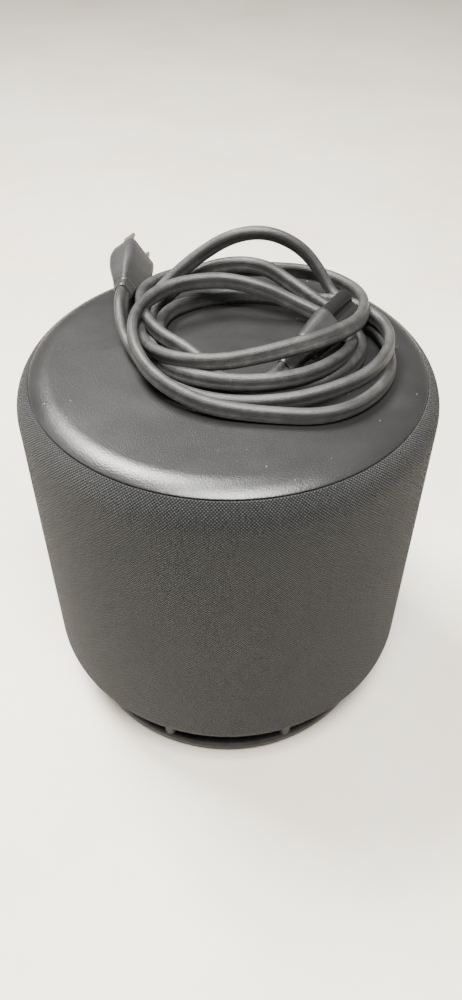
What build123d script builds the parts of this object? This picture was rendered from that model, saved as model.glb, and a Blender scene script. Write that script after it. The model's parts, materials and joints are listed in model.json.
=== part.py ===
"""Fabric-covered cylindrical bass speaker with its detached mains cord lying on top.

Millimetres, +Z up, origin at the centre of the underside, controls and inlet on the +Y side.
"""
from build123d import *
from math import cos, radians, sin, tan
import os

os.makedirs("parts", exist_ok=True)

# ---------------------------------------------------------------- casing
body_diameter = 202.0
body_height = 210.0
shoulder_radius = 18.0        # rounding between the top and the side
seam_angle = 52.0             # where cap and fabric meet, up the shoulder's arc
seam_gap_angle = 1.6
fabric_thickness = 1.2
skin_clearance = 0.2          # between the fabric and the shell under it
wall = 4.0
cap_thickness = 3.0
cap_ring_radius = 62.0
cap_ring_width = 2.0
cap_ring_height = 2.5
skirt_round = 13.0            # rounding at the lower edge of the fabric

foot_height = 3.5
foot_outer_radius = 78.0
foot_width = 14.0
foot_groove_depth = 1.0
base_thickness = 5.5
base_radius = 88.5
base_edge_round = 2.0
vent_height = 14.0            # open band between the base plate and the lower ring
lower_ring_height = 8.0
lower_ring_width = 8.0

post_count = 8
post_radius = 3.6
post_inset = 4.2              # from the edge of the base plate to the post's axis
case_screw_radius = 1.5
case_head_radius = 2.8
case_head_height = 2.4
screw_clearance = 0.15
boss_radius = 5.0
boss_height = 20.0
rib_thickness = 3.0

baffle_recess = 5.0           # from the baffle's lower edge up to the woofer's seat
gasket_thickness = 0.8
gasket_margin = 0.3

# ---------------------------------------------------------------- woofer
woofer_flange_radius = 79.0
woofer_recess_fit = 1.0
woofer_hole_radius = 68.0
woofer_screw_count = 6
woofer_screw_circle = 76.0
woofer_head_height = 2.4
woofer_screw_depth = 6.0
woofer_gasket_thickness = 1.0
sheet = 2.5                   # sheet steel of the basket
basket_depth = 48.0
ledge_width = 5.5             # ring inside the basket that carries the spider
ledge_thickness = 2.0
ledge_radius = 45.5
window_width = 26.0
terminal_size = (5.0, 14.0, 11.0)
tag_size = (0.8, 2.4, 7.0)
cone_outer_radius = 57.5
cone_depth = 24.0
paper_thickness = 1.3
roll_radius = 6.4
roll_thickness = 0.8
rim_width = 2.6
dust_cap_radius = 25.0
dust_cap_height = 6.0
voice_coil_radius = 19.0      # outside of the former
voice_coil_wall = 0.5
winding_thickness = 0.7
winding_height = 14.0
magnetic_gap = 0.6
spider_level = 63.0
spider_thickness = 0.8
magnet_radius = 50.0
magnet_height = 18.0
magnet_bore_radius = 26.0
steel_plate = 5.0
steel_step = 3.0              # how far the steel plates stop inside the magnet's edge

# ---------------------------------------------------------------- electronics
board_thickness = 1.6
board_drop = 17.0             # from the shell's ceiling to the boards
board_hole_inset = 5.0
board_boss_radius = 3.5
board_screw_radius = 1.4
board_head_radius = 2.6
board_head_height = 2.0
board_screw_depth = 8.0
power_board_size = (100.0, 56.0)
power_board_centre = (0.0, 42.0)
main_board_size = (104.0, 66.0)
main_board_centre = (0.0, -28.0)
connector_size = (14.0, 7.0, 8.0)
transformer_size = (30.0, 26.0, 24.0)
choke_size = (16.0, 16.0, 14.0)
bulk_capacitor = (9.0, 30.0)   # radius and length
supply_capacitor = (5.0, 16.0)
inductor_size = (12.0, 12.0, 8.0)
sink_base = 3.0
sink_fin = 1.5
sink_pitch = 5.0
power_sink_size = (22.0, 42.0, 22.0)
amplifier_sink_size = (24.0, 24.0, 12.0)
amplifier_chip_size = (14.0, 12.0, 1.6)
shield_size = (28.0, 22.0, 3.0)
processor_size = (13.0, 13.0, 1.4)
antenna_size = (36.0, 8.0, 0.8)
lead_radius = 1.0
lead_spacing = 5.0
ribbon_thickness = 0.7

# ---------------------------------------------------------------- rear panel
panel_width = 40.0
panel_height = 56.0
panel_centre_height = 80.0
panel_corner = 5.0
panel_wall = 2.5
panel_plate = 4.0
panel_face = 88.0             # distance of the recessed floor from the speaker's axis
panel_margin = 6.0            # flange of the panel around its window
panel_fit = 0.2
panel_screw_length = 8.0
inlet_height = 66.0
inlet_size = (22.0, 14.0)
inlet_depth = 22.0
inlet_lip = 2.0
pin_spacing = 8.6
pin_radius = 1.2
pin_reach = 12.0
socket_lobe_radius = 4.4
socket_waist = 5.4            # height of the figure-of-eight between its lobes
socket_depth = 14.0
button_height = 92.0
button_radius = 5.5
button_fit = 0.25
button_travel = 0.8
button_proud = 2.0
button_flange = 1.5
button_stem = 2.2             # from the button's flange back to the switch's plunger
button_rest_gap = 0.3
plunger_radius = 1.75
plunger_fit = 0.15
plunger_out = 1.5
plunger_in = 1.2
switch_size = 6.0
switch_depth = 3.5
switch_board_size = (34.0, 24.0)
switch_post_spacing = 26.0
switch_post_radius = 2.6
lens_height = 102.0
lens_radius = 1.5
lens_proud = 0.5
lamp_depth = 1.4

# ---------------------------------------------------------------- damping
wadding_thickness = 14.0
wadding_height = 70.0

# ---------------------------------------------------------------- mains cord
cord_width = 8.0
cord_tube_radius = 3.25       # a round tube of about the flat cord's section
coil_centre = (15.0, 3.0)
coil_outer_radius = 63.0
coil_inner_radius = 34.0
coil_height = 24.0
coil_lift = 0.3
arch_centre = (9.0, 48.0)     # the coil's back turns stand up here
arch_half_width = 46.0
arch_height = 46.0
arch_depth = 20.0
plug_neck = (-51.0, 38.0, body_height + 15.0)
plug_face = (-50.0, 74.0, body_height + 12.0)
plug_size = (21.0, 15.5)
plug_round = 3.0
plug_roll = 55.0
plug_relief_length = 7.0
blade_size = (1.5, 6.3)
blade_length = 16.0
blade_spacing = 12.7
blade_seat = 4.0
connector_tail = (25.2, -20.0, body_height + 7.0)
connector_tip = (58.5, 22.5, body_height + 15.0)
connector_roll = 40.0
connector_relief_length = 16.0
connector_nose_length = 17.0
connector_nose_fit = 0.4      # how much smaller the nose is than the inlet's socket
connector_grip_size = (18.5, 10.5)
connector_space = (21.0, 9.0)
tail_run = 14.0               # straight run of the cord out of each moulding
plug_tail_end = (-47.0, 0.0, body_height + 4.8)
connector_tail_end = (5.0, -38.5, body_height + 4.4)

# ---------------------------------------------------------------- derived levels and radii
body_radius = body_diameter / 2
fabric_inner_radius = body_radius - fabric_thickness
shell_radius = fabric_inner_radius - skin_clearance
shell_inner_radius = shell_radius - wall
shoulder_x = body_radius - shoulder_radius
shoulder_z = body_height - shoulder_radius
cap_round = shoulder_radius - cap_thickness
inner_round = cap_round - 2.0
foot_seat = foot_height - foot_groove_depth
base_top = foot_seat + base_thickness
ring_bottom = base_top + vent_height
skirt_bottom = ring_bottom + lower_ring_height
baffle_top = skirt_bottom + skirt_round
gasket_top = baffle_top + gasket_thickness
post_circle = base_radius - post_inset
cap_underside = body_height - cap_thickness
ceiling = cap_underside - wall
board_top = ceiling - board_drop
board_bottom = board_top - board_thickness

flange_seat = skirt_bottom + baffle_recess
flange_bottom = flange_seat - sheet
cone_edge = flange_bottom - 0.5
cone_neck = cone_edge + cone_depth
magnet_seat = flange_seat + basket_depth
gap_middle = magnet_seat + steel_plate / 2
magnet_bottom = magnet_seat + steel_plate
magnet_top = magnet_bottom + magnet_height
pole_radius = voice_coil_radius - voice_coil_wall - magnetic_gap
gap_radius = voice_coil_radius + winding_thickness + magnetic_gap
steel_radius = magnet_radius - steel_step

panel_back = panel_face - panel_plate
window_size = (panel_width + 2 * panel_fit, panel_height + 2 * panel_fit)
flange_size = (panel_width + 2 * panel_margin, panel_height + 2 * panel_margin)
panel_screw_grid = (panel_width + panel_margin, panel_height + panel_margin)
button_back = panel_back - button_rest_gap - button_flange - button_stem
switch_front = button_back - plunger_out
switch_board_front = switch_front - switch_depth
switch_board_back = switch_board_front - board_thickness
switch_board_height = (button_height + lens_height) / 2
inlet_back = panel_face - inlet_depth
coil_bottom = body_height + coil_lift


def save(piece, name):
    """Label a finished piece and write it as one STEP file named after its node."""
    piece.part.label = name
    export_step(piece.part, f"parts/{name}.step")


def on_shoulder(arc_radius, angle):
    """Point (radius, height) on an arc about the shoulder's centre."""
    return (
        shoulder_x + arc_radius * cos(radians(angle)),
        shoulder_z + arc_radius * sin(radians(angle)),
    )


def around_posts():
    """Places of the base posts, turned so that none stands on the X or Y axis."""
    return PolarLocations(post_circle, post_count, start_angle=180.0 / post_count)


def around_woofer():
    """Places of the woofer's screws."""
    return PolarLocations(woofer_screw_circle, woofer_screw_count)


def board_holes(centre, size):
    """The four screw places of a board, near its corners."""
    half_x = size[0] / 2 - board_hole_inset
    half_y = size[1] / 2 - board_hole_inset
    return Locations(
        *[(centre[0] + i * half_x, centre[1] + j * half_y) for i in (-1, 1) for j in (-1, 1)]
    )


def facing_back(distance, height, across=0.0):
    """Plane square to the Y axis, with its normal pointing out of the rear panel."""
    return Plane(origin=(across, distance, height), x_dir=(1, 0, 0), z_dir=(0, 1, 0))


def dome_arc(span, height, level):
    """Start, middle and end of a dome's profile that hangs below a level, flat at the axis."""
    radius = (span**2 + height**2) / (2 * height)
    half = span / 2
    sagitta = radius - (radius**2 - half**2) ** 0.5
    return (0, level - height), (half, level - height + sagitta), (span, level)


def annulus(name, level, height, outer, inner):
    """A plain flat ring in its own node."""
    with BuildPart() as ring:
        with BuildSketch(Plane.XY.offset(level)):
            Circle(outer)
            Circle(inner, mode=Mode.SUBTRACT)
        extrude(amount=height)
    save(ring, name)


def screws(name, plane, places, head, shank):
    """Identical screws; head and shank are (radius, length), the shank along the normal."""
    with BuildPart() as group:
        with BuildSketch(plane):
            with places():
                Circle(head[0])
        extrude(amount=head[1])
        with BuildSketch(plane.offset(head[1])):
            with places():
                Circle(shank[0])
        extrude(amount=shank[1])
        with BuildSketch(plane):
            with places():
                RegularPolygon(head[0] / 2, 6)
        extrude(amount=head[1] / 2, mode=Mode.SUBTRACT)
    save(group, name)


# ---------------------------------------------------------------- foot and base
with BuildPart() as foot_ring:
    with BuildSketch(Plane.XY):
        Circle(foot_outer_radius)
        Circle(foot_outer_radius - foot_width, mode=Mode.SUBTRACT)
    extrude(amount=foot_height)
    fillet(foot_ring.edges().group_by(Axis.Z)[0], radius=1.0)
save(foot_ring, "foot_ring")

with BuildPart() as base_plate:
    with BuildSketch(Plane.XY.offset(foot_seat)):
        Circle(base_radius)
    extrude(amount=base_thickness)
    fillet(base_plate.edges(), radius=base_edge_round)
    with BuildSketch(Plane.XY.offset(foot_seat)):
        Circle(foot_outer_radius + screw_clearance)
        Circle(foot_outer_radius - foot_width - screw_clearance, mode=Mode.SUBTRACT)
    extrude(amount=foot_groove_depth, mode=Mode.SUBTRACT)
    with BuildSketch(Plane.XY.offset(base_top)):
        with around_posts():
            Circle(post_radius)
    extrude(amount=vent_height)
    with BuildSketch(Plane.XY.offset(foot_seat)):
        with around_posts():
            Circle(case_screw_radius + screw_clearance)
    extrude(amount=base_thickness + vent_height, mode=Mode.SUBTRACT)
    with BuildSketch(Plane.XY.offset(foot_seat)):
        with around_posts():
            Circle(case_head_radius + screw_clearance)
    extrude(amount=case_head_height, mode=Mode.SUBTRACT)
save(base_plate, "base_plate")

with BuildPart() as lower_ring:
    with BuildSketch(Plane.XY.offset(ring_bottom)):
        Circle(base_radius)
        Circle(base_radius - lower_ring_width, mode=Mode.SUBTRACT)
        with around_posts():
            Circle(case_screw_radius + screw_clearance, mode=Mode.SUBTRACT)
    extrude(amount=lower_ring_height)
save(lower_ring, "lower_ring")

# ---------------------------------------------------------------- baffle and shell
with BuildPart() as baffle:
    with BuildSketch(Plane.XZ):
        with BuildLine():
            recess_radius = woofer_flange_radius + woofer_recess_fit
            Polyline(
                (shell_radius - skirt_round, skirt_bottom),
                (recess_radius, skirt_bottom),
                (recess_radius, flange_seat),
                (woofer_hole_radius, flange_seat),
                (woofer_hole_radius, baffle_top),
                (shell_radius, baffle_top),
            )
            CenterArc((shell_radius - skirt_round, baffle_top), skirt_round, -90, 90)
        make_face()
    revolve(axis=Axis.Z)
    with BuildSketch(Plane.XY.offset(skirt_bottom)):
        with around_posts():
            Circle(case_screw_radius + screw_clearance)
    extrude(amount=skirt_round, mode=Mode.SUBTRACT)
    with BuildSketch(Plane.XY.offset(flange_seat)):
        with around_woofer():
            Circle(case_screw_radius)
    extrude(amount=woofer_screw_depth, mode=Mode.SUBTRACT)
save(baffle, "baffle")

annulus(
    "baffle_gasket",
    baffle_top,
    gasket_thickness,
    shell_radius - gasket_margin,
    shell_inner_radius + gasket_margin,
)

with BuildPart() as enclosure_shell:
    fabric_seat_round = shoulder_radius - fabric_thickness - skin_clearance
    with BuildSketch(Plane.XZ):
        with BuildLine():
            Polyline(
                (shoulder_x, cap_underside),
                (0, cap_underside),
                (0, ceiling),
                (shell_inner_radius - inner_round, ceiling),
            )
            CenterArc((shell_inner_radius - inner_round, ceiling - inner_round), inner_round, 0, 90)
            Polyline(
                (shell_inner_radius, ceiling - inner_round),
                (shell_inner_radius, gasket_top),
                (shell_radius, gasket_top),
                (shell_radius, shoulder_z),
            )
            CenterArc((shoulder_x, shoulder_z), fabric_seat_round, 0, seam_angle)
            Line(on_shoulder(fabric_seat_round, seam_angle), on_shoulder(cap_round, seam_angle))
            CenterArc((shoulder_x, shoulder_z), cap_round, seam_angle, 90 - seam_angle)
        make_face()
    revolve(axis=Axis.Z)
    # screw bosses, each tied to the wall by a rib
    with BuildSketch(Plane.XY.offset(baffle_top)):
        with around_posts():
            Circle(boss_radius)
    extrude(amount=boss_height)
    with BuildSketch(Plane.XY.offset(gasket_top)):
        rib_length = shell_inner_radius - post_circle + wall / 2
        with PolarLocations(post_circle + rib_length / 2, post_count, start_angle=180.0 / post_count):
            Rectangle(rib_length, rib_thickness)
    extrude(amount=boss_height - gasket_thickness)
    with BuildSketch(Plane.XY.offset(baffle_top)):
        with around_posts():
            Circle(case_screw_radius)
    extrude(amount=boss_height - wall, mode=Mode.SUBTRACT)
    # flat pad behind the rear window
    with BuildSketch(Plane.XY.offset(gasket_top)):
        Circle(shell_radius - wall / 2)
        with Locations((0, panel_face / 2)):
            Rectangle(body_diameter, panel_face, mode=Mode.SUBTRACT)
        with Locations((0, -body_radius)):
            Rectangle(body_diameter, body_diameter, mode=Mode.SUBTRACT)
    extrude(amount=panel_centre_height + flange_size[1] / 2 + wall - gasket_top)
    with BuildSketch(facing_back(panel_face, panel_centre_height)):
        RectangleRounded(*window_size, panel_corner + panel_fit)
    extrude(amount=body_radius - panel_face, mode=Mode.SUBTRACT)
    with BuildSketch(facing_back(panel_face, panel_centre_height)):
        with GridLocations(*panel_screw_grid, 2, 2):
            Circle(board_screw_radius)
    extrude(amount=panel_screw_length - panel_plate, mode=Mode.SUBTRACT)
    # bosses that carry the boards
    with BuildSketch(Plane.XY.offset(board_top)):
        with board_holes(power_board_centre, power_board_size):
            Circle(board_boss_radius)
        with board_holes(main_board_centre, main_board_size):
            Circle(board_boss_radius)
    extrude(amount=board_drop)
    with BuildSketch(Plane.XY.offset(board_top)):
        with board_holes(power_board_centre, power_board_size):
            Circle(board_screw_radius)
        with board_holes(main_board_centre, main_board_size):
            Circle(board_screw_radius)
    extrude(amount=board_screw_depth, mode=Mode.SUBTRACT)
    # groove that takes the cap's locating ring
    with BuildSketch(Plane.XY.offset(cap_underside)):
        Circle(cap_ring_radius + skin_clearance)
        Circle(cap_ring_radius - cap_ring_width - skin_clearance, mode=Mode.SUBTRACT)
    extrude(amount=-cap_ring_height - skin_clearance, mode=Mode.SUBTRACT)
save(enclosure_shell, "enclosure_shell")

with BuildPart() as fabric_sleeve:
    end_angle = seam_angle - seam_gap_angle / 2
    fabric_inner_round = shoulder_radius - fabric_thickness
    with BuildSketch(Plane.XZ):
        with BuildLine():
            CenterArc((body_radius - skirt_round, baffle_top), skirt_round, -90, 90)
            Line((body_radius, baffle_top), (body_radius, shoulder_z))
            CenterArc((shoulder_x, shoulder_z), shoulder_radius, 0, end_angle)
            Line(on_shoulder(shoulder_radius, end_angle), on_shoulder(fabric_inner_round, end_angle))
            CenterArc((shoulder_x, shoulder_z), fabric_inner_round, 0, end_angle)
            Line((fabric_inner_radius, shoulder_z), (fabric_inner_radius, baffle_top))
            CenterArc((fabric_inner_radius - skirt_round, baffle_top), skirt_round, -90, 90)
            Line(
                (fabric_inner_radius - skirt_round, skirt_bottom),
                (body_radius - skirt_round, skirt_bottom),
            )
        make_face()
    revolve(axis=Axis.Z)
    with BuildSketch(facing_back(panel_face, panel_centre_height)):
        RectangleRounded(*window_size, panel_corner + panel_fit)
    extrude(amount=body_radius, mode=Mode.SUBTRACT)
save(fabric_sleeve, "fabric_sleeve")

with BuildPart() as top_cap:
    start_angle = seam_angle + seam_gap_angle / 2
    with BuildSketch(Plane.XZ):
        with BuildLine():
            Polyline(
                (shoulder_x, cap_underside),
                (0, cap_underside),
                (0, body_height),
                (shoulder_x, body_height),
            )
            CenterArc((shoulder_x, shoulder_z), shoulder_radius, start_angle, 90 - start_angle)
            Line(on_shoulder(shoulder_radius, start_angle), on_shoulder(cap_round, start_angle))
            CenterArc((shoulder_x, shoulder_z), cap_round, start_angle, 90 - start_angle)
        make_face()
    revolve(axis=Axis.Z)
    with BuildSketch(Plane.XY.offset(cap_underside)):
        Circle(cap_ring_radius)
        Circle(cap_ring_radius - cap_ring_width, mode=Mode.SUBTRACT)
    extrude(amount=-cap_ring_height)
save(top_cap, "top_cap")

screws(
    "case_screws",
    Plane.XY.offset(foot_seat),
    around_posts,
    (case_head_radius, case_head_height),
    (case_screw_radius, baffle_top + boss_height - wall - 1.0 - foot_seat - case_head_height),
)

# ---------------------------------------------------------------- woofer, facing down
with BuildPart() as woofer_basket:
    inner_edge = cone_outer_radius + 7.0
    window_slope = sheet * 0.4
    with BuildSketch(Plane.XZ):
        with BuildLine():
            Polyline(
                (woofer_flange_radius, flange_bottom),
                (woofer_flange_radius, flange_seat),
                (inner_edge + sheet, flange_seat),
                (ledge_radius + sheet, spider_level),
                (steel_radius, magnet_seat - sheet),
                (steel_radius, magnet_seat),
                (gap_radius, magnet_seat),
                (gap_radius, magnet_seat - sheet),
                (steel_radius - sheet, magnet_seat - sheet),
                (ledge_radius, spider_level + ledge_thickness),
                (ledge_radius - ledge_width, spider_level + ledge_thickness),
                (ledge_radius - ledge_width, spider_level),
                (ledge_radius - window_slope, spider_level),
                (inner_edge, flange_seat),
                (inner_edge, flange_bottom),
                close=True,
            )
        make_face()
    revolve(axis=Axis.Z)
    with BuildSketch(Plane.XY.offset(flange_seat + 3)):
        with PolarLocations(inner_edge - 4, woofer_screw_count, start_angle=30):
            Rectangle(window_width * 1.6, window_width)
    extrude(amount=spider_level - flange_seat - 6, mode=Mode.SUBTRACT)
    with BuildSketch(Plane.XY.offset(spider_level + ledge_thickness + 2)):
        with PolarLocations(ledge_radius, woofer_screw_count, start_angle=30):
            Rectangle(window_width * 0.6, window_width)
    extrude(amount=magnet_seat - spider_level - ledge_thickness - sheet - 4, mode=Mode.SUBTRACT)
    with BuildSketch(Plane.XY.offset(flange_bottom)):
        with around_woofer():
            Circle(case_screw_radius + screw_clearance)
    extrude(amount=sheet, mode=Mode.SUBTRACT)
save(woofer_basket, "woofer_basket")

with BuildPart() as woofer_gasket:
    with BuildSketch(Plane.XY.offset(flange_bottom - woofer_gasket_thickness)):
        Circle(woofer_flange_radius)
        Circle(cone_outer_radius + 2 * roll_radius + rim_width + 0.3, mode=Mode.SUBTRACT)
        with around_woofer():
            Circle(case_screw_radius + screw_clearance, mode=Mode.SUBTRACT)
    extrude(amount=woofer_gasket_thickness)
save(woofer_gasket, "woofer_gasket")

screws(
    "woofer_screws",
    Plane.XY.offset(flange_bottom - woofer_gasket_thickness - woofer_head_height),
    around_woofer,
    (case_head_radius, woofer_head_height),
    (case_screw_radius, woofer_gasket_thickness + sheet + woofer_screw_depth - 0.5),
)

with BuildPart() as woofer_surround:
    rim_level = flange_bottom - roll_thickness
    roll_centre = cone_outer_radius + roll_radius
    inner_roll = roll_radius - roll_thickness
    with BuildSketch(Plane.XZ):
        with BuildLine():
            Polyline(
                (roll_centre - inner_roll, rim_level),
                (roll_centre - inner_roll, cone_edge + paper_thickness),
                (cone_outer_radius, cone_edge + paper_thickness),
                (cone_outer_radius, rim_level),
            )
            CenterArc((roll_centre, rim_level), roll_radius, 180, 180)
            Polyline(
                (roll_centre + roll_radius, rim_level),
                (roll_centre + roll_radius + rim_width, rim_level),
                (roll_centre + roll_radius + rim_width, flange_bottom),
                (roll_centre + inner_roll, flange_bottom),
                (roll_centre + inner_roll, rim_level),
            )
            CenterArc((roll_centre, rim_level), inner_roll, 180, 180)
        make_face()
    revolve(axis=Axis.Z)
save(woofer_surround, "woofer_surround")

with BuildPart() as woofer_cone:
    with BuildSketch(Plane.XZ):
        with BuildLine():
            Polyline(
                (voice_coil_radius, cone_neck),
                (cone_outer_radius, cone_edge),
                (cone_outer_radius, cone_edge + paper_thickness),
                (voice_coil_radius, cone_neck + paper_thickness),
                close=True,
            )
        make_face()
    revolve(axis=Axis.Z)
save(woofer_cone, "woofer_cone")

with BuildPart() as woofer_dust_cap:
    cone_slope = cone_depth / (cone_outer_radius - voice_coil_radius)
    cap_seat = cone_edge + (cone_outer_radius - dust_cap_radius) * cone_slope
    inner_span = dust_cap_radius - 2 * paper_thickness
    inner_height = dust_cap_height - paper_thickness
    with BuildSketch(Plane.XZ):
        with BuildLine():
            outer_dome = dome_arc(dust_cap_radius, dust_cap_height, cap_seat)
            ThreePointArc(*outer_dome)
            inner_dome = dome_arc(inner_span, inner_height, cap_seat)
            ThreePointArc(*inner_dome)
            Line(outer_dome[0], inner_dome[0])
            Line(outer_dome[2], inner_dome[2])
        make_face()
    revolve(axis=Axis.Z)
save(woofer_dust_cap, "woofer_dust_cap")

annulus(
    "voice_coil_former",
    cone_neck - 1.0,
    gap_middle + winding_height / 2 + 1.0 - cone_neck + 1.0,
    voice_coil_radius,
    voice_coil_radius - voice_coil_wall,
)
annulus(
    "voice_coil_winding",
    gap_middle - winding_height / 2,
    winding_height,
    voice_coil_radius + winding_thickness,
    voice_coil_radius,
)

with BuildPart() as woofer_spider:
    spider_outer = ledge_radius - 2.0
    waves = 4
    pitch = (spider_outer - 4.0 - voice_coil_radius) / waves
    with BuildSketch(Plane.XZ):
        with BuildLine():
            upper = [(voice_coil_radius, spider_level), (spider_outer - 4.0, spider_level)]
            upper += [(spider_outer, spider_level)]
            lower = [(x, z - spider_thickness) for x, z in reversed(upper)]
            Polyline(*upper, *lower, close=True)
        make_face()
    revolve(axis=Axis.Z)
    # concentric corrugations hang below the flat disc
    with BuildSketch(Plane.XZ):
        for k in range(waves):
            with Locations((voice_coil_radius + (k + 0.5) * pitch, spider_level - spider_thickness)):
                Rectangle(pitch / 2, spider_thickness)
    revolve(axis=Axis.Z)
save(woofer_spider, "woofer_spider")

annulus("front_steel_plate", magnet_seat, steel_plate, steel_radius, gap_radius)
annulus("woofer_magnet", magnet_bottom, magnet_height, magnet_radius, magnet_bore_radius)

with BuildPart() as back_plate_and_pole:
    with BuildSketch(Plane.XY.offset(magnet_top)):
        Circle(steel_radius)
    extrude(amount=steel_plate)
    fillet(back_plate_and_pole.edges().group_by(Axis.Z)[-1], radius=1.5)
    with BuildSketch(Plane.XY.offset(magnet_seat)):
        Circle(pole_radius)
    extrude(amount=magnet_top - magnet_seat)
save(back_plate_and_pole, "back_plate_and_pole")

with BuildPart() as woofer_terminal_block:
    terminal_x = -(ledge_radius + sheet + terminal_size[0] / 2)
    terminal_bottom = spider_level + ledge_thickness + 1.0
    with BuildSketch(Plane.XY.offset(terminal_bottom)):
        with Locations((terminal_x, 0)):
            Rectangle(terminal_size[0], terminal_size[1])
    extrude(amount=terminal_size[2])
save(woofer_terminal_block, "woofer_terminal_block")

tag_top = terminal_bottom + terminal_size[2] + tag_size[2]
tag_x = -(magnet_radius + 2 * lead_radius)
with BuildPart() as woofer_solder_tags:
    with BuildSketch(Plane.XY.offset(tag_top - tag_size[2])):
        with Locations((tag_x, 0)):
            with GridLocations(0, lead_spacing, 1, 2):
                Rectangle(tag_size[0], tag_size[1])
    extrude(amount=tag_size[2])
save(woofer_solder_tags, "woofer_solder_tags")


# ---------------------------------------------------------------- boards under the ceiling
def circuit_board(name, centre, size):
    """A board with its four screw holes."""
    with BuildPart() as board:
        with BuildSketch(Plane.XY.offset(board_bottom)):
            with Locations(centre):
                Rectangle(*size)
            with board_holes(centre, size):
                Circle(board_screw_radius + screw_clearance, mode=Mode.SUBTRACT)
        extrude(amount=board_thickness)
    save(board, name)


def hanging_boxes(name, *groups):
    """Box-shaped parts soldered to the underside of a board, each group a size and its places."""
    with BuildPart() as boxes:
        for size, places in groups:
            with BuildSketch(Plane.XY.offset(board_bottom)):
                with Locations(*places):
                    Rectangle(size[0], size[1])
            extrude(amount=-size[2])
    save(boxes, name)


def hanging_cans(name, size, places):
    """Round capacitors soldered to the underside of a board."""
    with BuildPart() as cans:
        with BuildSketch(Plane.XY.offset(board_bottom)):
            with Locations(*places):
                Circle(size[0])
        extrude(amount=-size[1])
        fillet(cans.edges().group_by(Axis.Z)[0], radius=0.8)
    save(cans, name)


def heat_sink(name, size, centre, level):
    """A finned block that hangs from a level, with its fins along Y."""
    with BuildPart() as sink:
        with BuildSketch(Plane.XY.offset(level)):
            with Locations(centre):
                Rectangle(size[0], size[1])
        extrude(amount=-sink_base)
        with BuildSketch(Plane.XY.offset(level - sink_base)):
            with Locations(centre):
                with GridLocations(sink_pitch, 0, int((size[0] - sink_fin) / sink_pitch) + 1, 1):
                    Rectangle(sink_fin, size[1])
        extrude(amount=sink_base - size[2])
    save(sink, name)


circuit_board("power_board", power_board_centre, power_board_size)
circuit_board("main_board", main_board_centre, main_board_size)


def all_board_holes():
    """The screw places of both boards."""
    half = [
        (centre[0] + i * (size[0] / 2 - board_hole_inset), centre[1] + j * (size[1] / 2 - board_hole_inset))
        for centre, size in (
            (power_board_centre, power_board_size),
            (main_board_centre, main_board_size),
        )
        for i in (-1, 1)
        for j in (-1, 1)
    ]
    return Locations(*half)


screws(
    "board_screws",
    Plane.XY.offset(board_bottom - board_head_height),
    all_board_holes,
    (board_head_radius, board_head_height),
    (board_screw_radius, board_thickness + board_screw_depth - 0.5),
)

mains_socket = (0.0, 62.0)
speaker_socket = (-42.0, -16.0)
link_sockets = ((-26.0, 19.0), (-26.0, 0.0))
switch_socket = (16.0, 65.0)
hanging_boxes(
    "board_connectors",
    (connector_size, (mains_socket, *link_sockets)),
    ((connector_size[1], connector_size[0], connector_size[2]), (speaker_socket,)),
)
hanging_boxes("power_transformer", (transformer_size, ((-20.0, 38.0),)))
hanging_boxes("mains_choke", (choke_size, ((-32.0, 60.0),)))
hanging_cans("bulk_capacitors", bulk_capacitor, ((8.0, 46.0), (8.0, 26.0)))
heat_sink("power_heat_sink", power_sink_size, (30.0, 40.0), board_bottom)
hanging_boxes(
    "integrated_circuits",
    (amplifier_chip_size, ((28.0, -20.0),)),
    (processor_size, ((-4.0, -48.0),)),
)
heat_sink("amplifier_heat_sink", amplifier_sink_size, (28.0, -20.0), board_bottom - amplifier_chip_size[2])
hanging_boxes("filter_inductors", (inductor_size, ((4.0, -14.0), (4.0, -30.0))))
hanging_cans("supply_capacitors", supply_capacitor, tuple((-32.0 + 12.0 * k, -20.0) for k in range(3)))
hanging_boxes("radio_shield", (shield_size, ((-30.0, -46.0),)))
hanging_boxes("antenna", (antenna_size, ((24.0, -52.0),)))

with BuildPart() as link_cable:
    with BuildSketch(Plane.XY.offset(board_bottom - connector_size[2])):
        with Locations((link_sockets[0][0], (link_sockets[0][1] + link_sockets[1][1]) / 2)):
            Rectangle(connector_size[0] - 2, link_sockets[0][1] - link_sockets[1][1] + connector_size[1] - 1)
    extrude(amount=-ribbon_thickness)
save(link_cable, "link_cable")


def tube(name, points, radius, largest=None):
    """Round tube along straight runs joined by the largest arcs that the runs allow."""
    runs = [Vector(*b) - Vector(*a) for a, b in zip(points, points[1:])]
    radii = []
    for first, second in zip(runs, runs[1:]):
        half_turn = radians(first.get_angle(second)) / 2
        radii.append(0.45 * min(first.length, second.length) / tan(half_turn))
    if largest:
        radii = [min(r, largest) for r in radii]
    with BuildPart() as piece:
        with BuildLine() as path:
            FilletPolyline(*points, radius=radii)
        with BuildSketch(Plane(origin=points[0], z_dir=runs[0])):
            Circle(radius)
        sweep(path=path.wire())
    print(name, "radii", [round(r, 1) for r in radii], "length", round(path.wire().length, 1))
    return piece


def lead_pair(name, points):
    """Two parallel insulated wires, side by side."""
    pair = []
    for side in (-lead_spacing / 2, lead_spacing / 2):
        shifted = [(x + side * across[0], y + side * across[1], z) for (x, y, z), across in points]
        pair.append(tube(name, shifted, lead_radius, largest=14.0).part)
    with BuildPart() as leads:
        add(pair[0])
        add(pair[1])
    save(leads, name)


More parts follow.
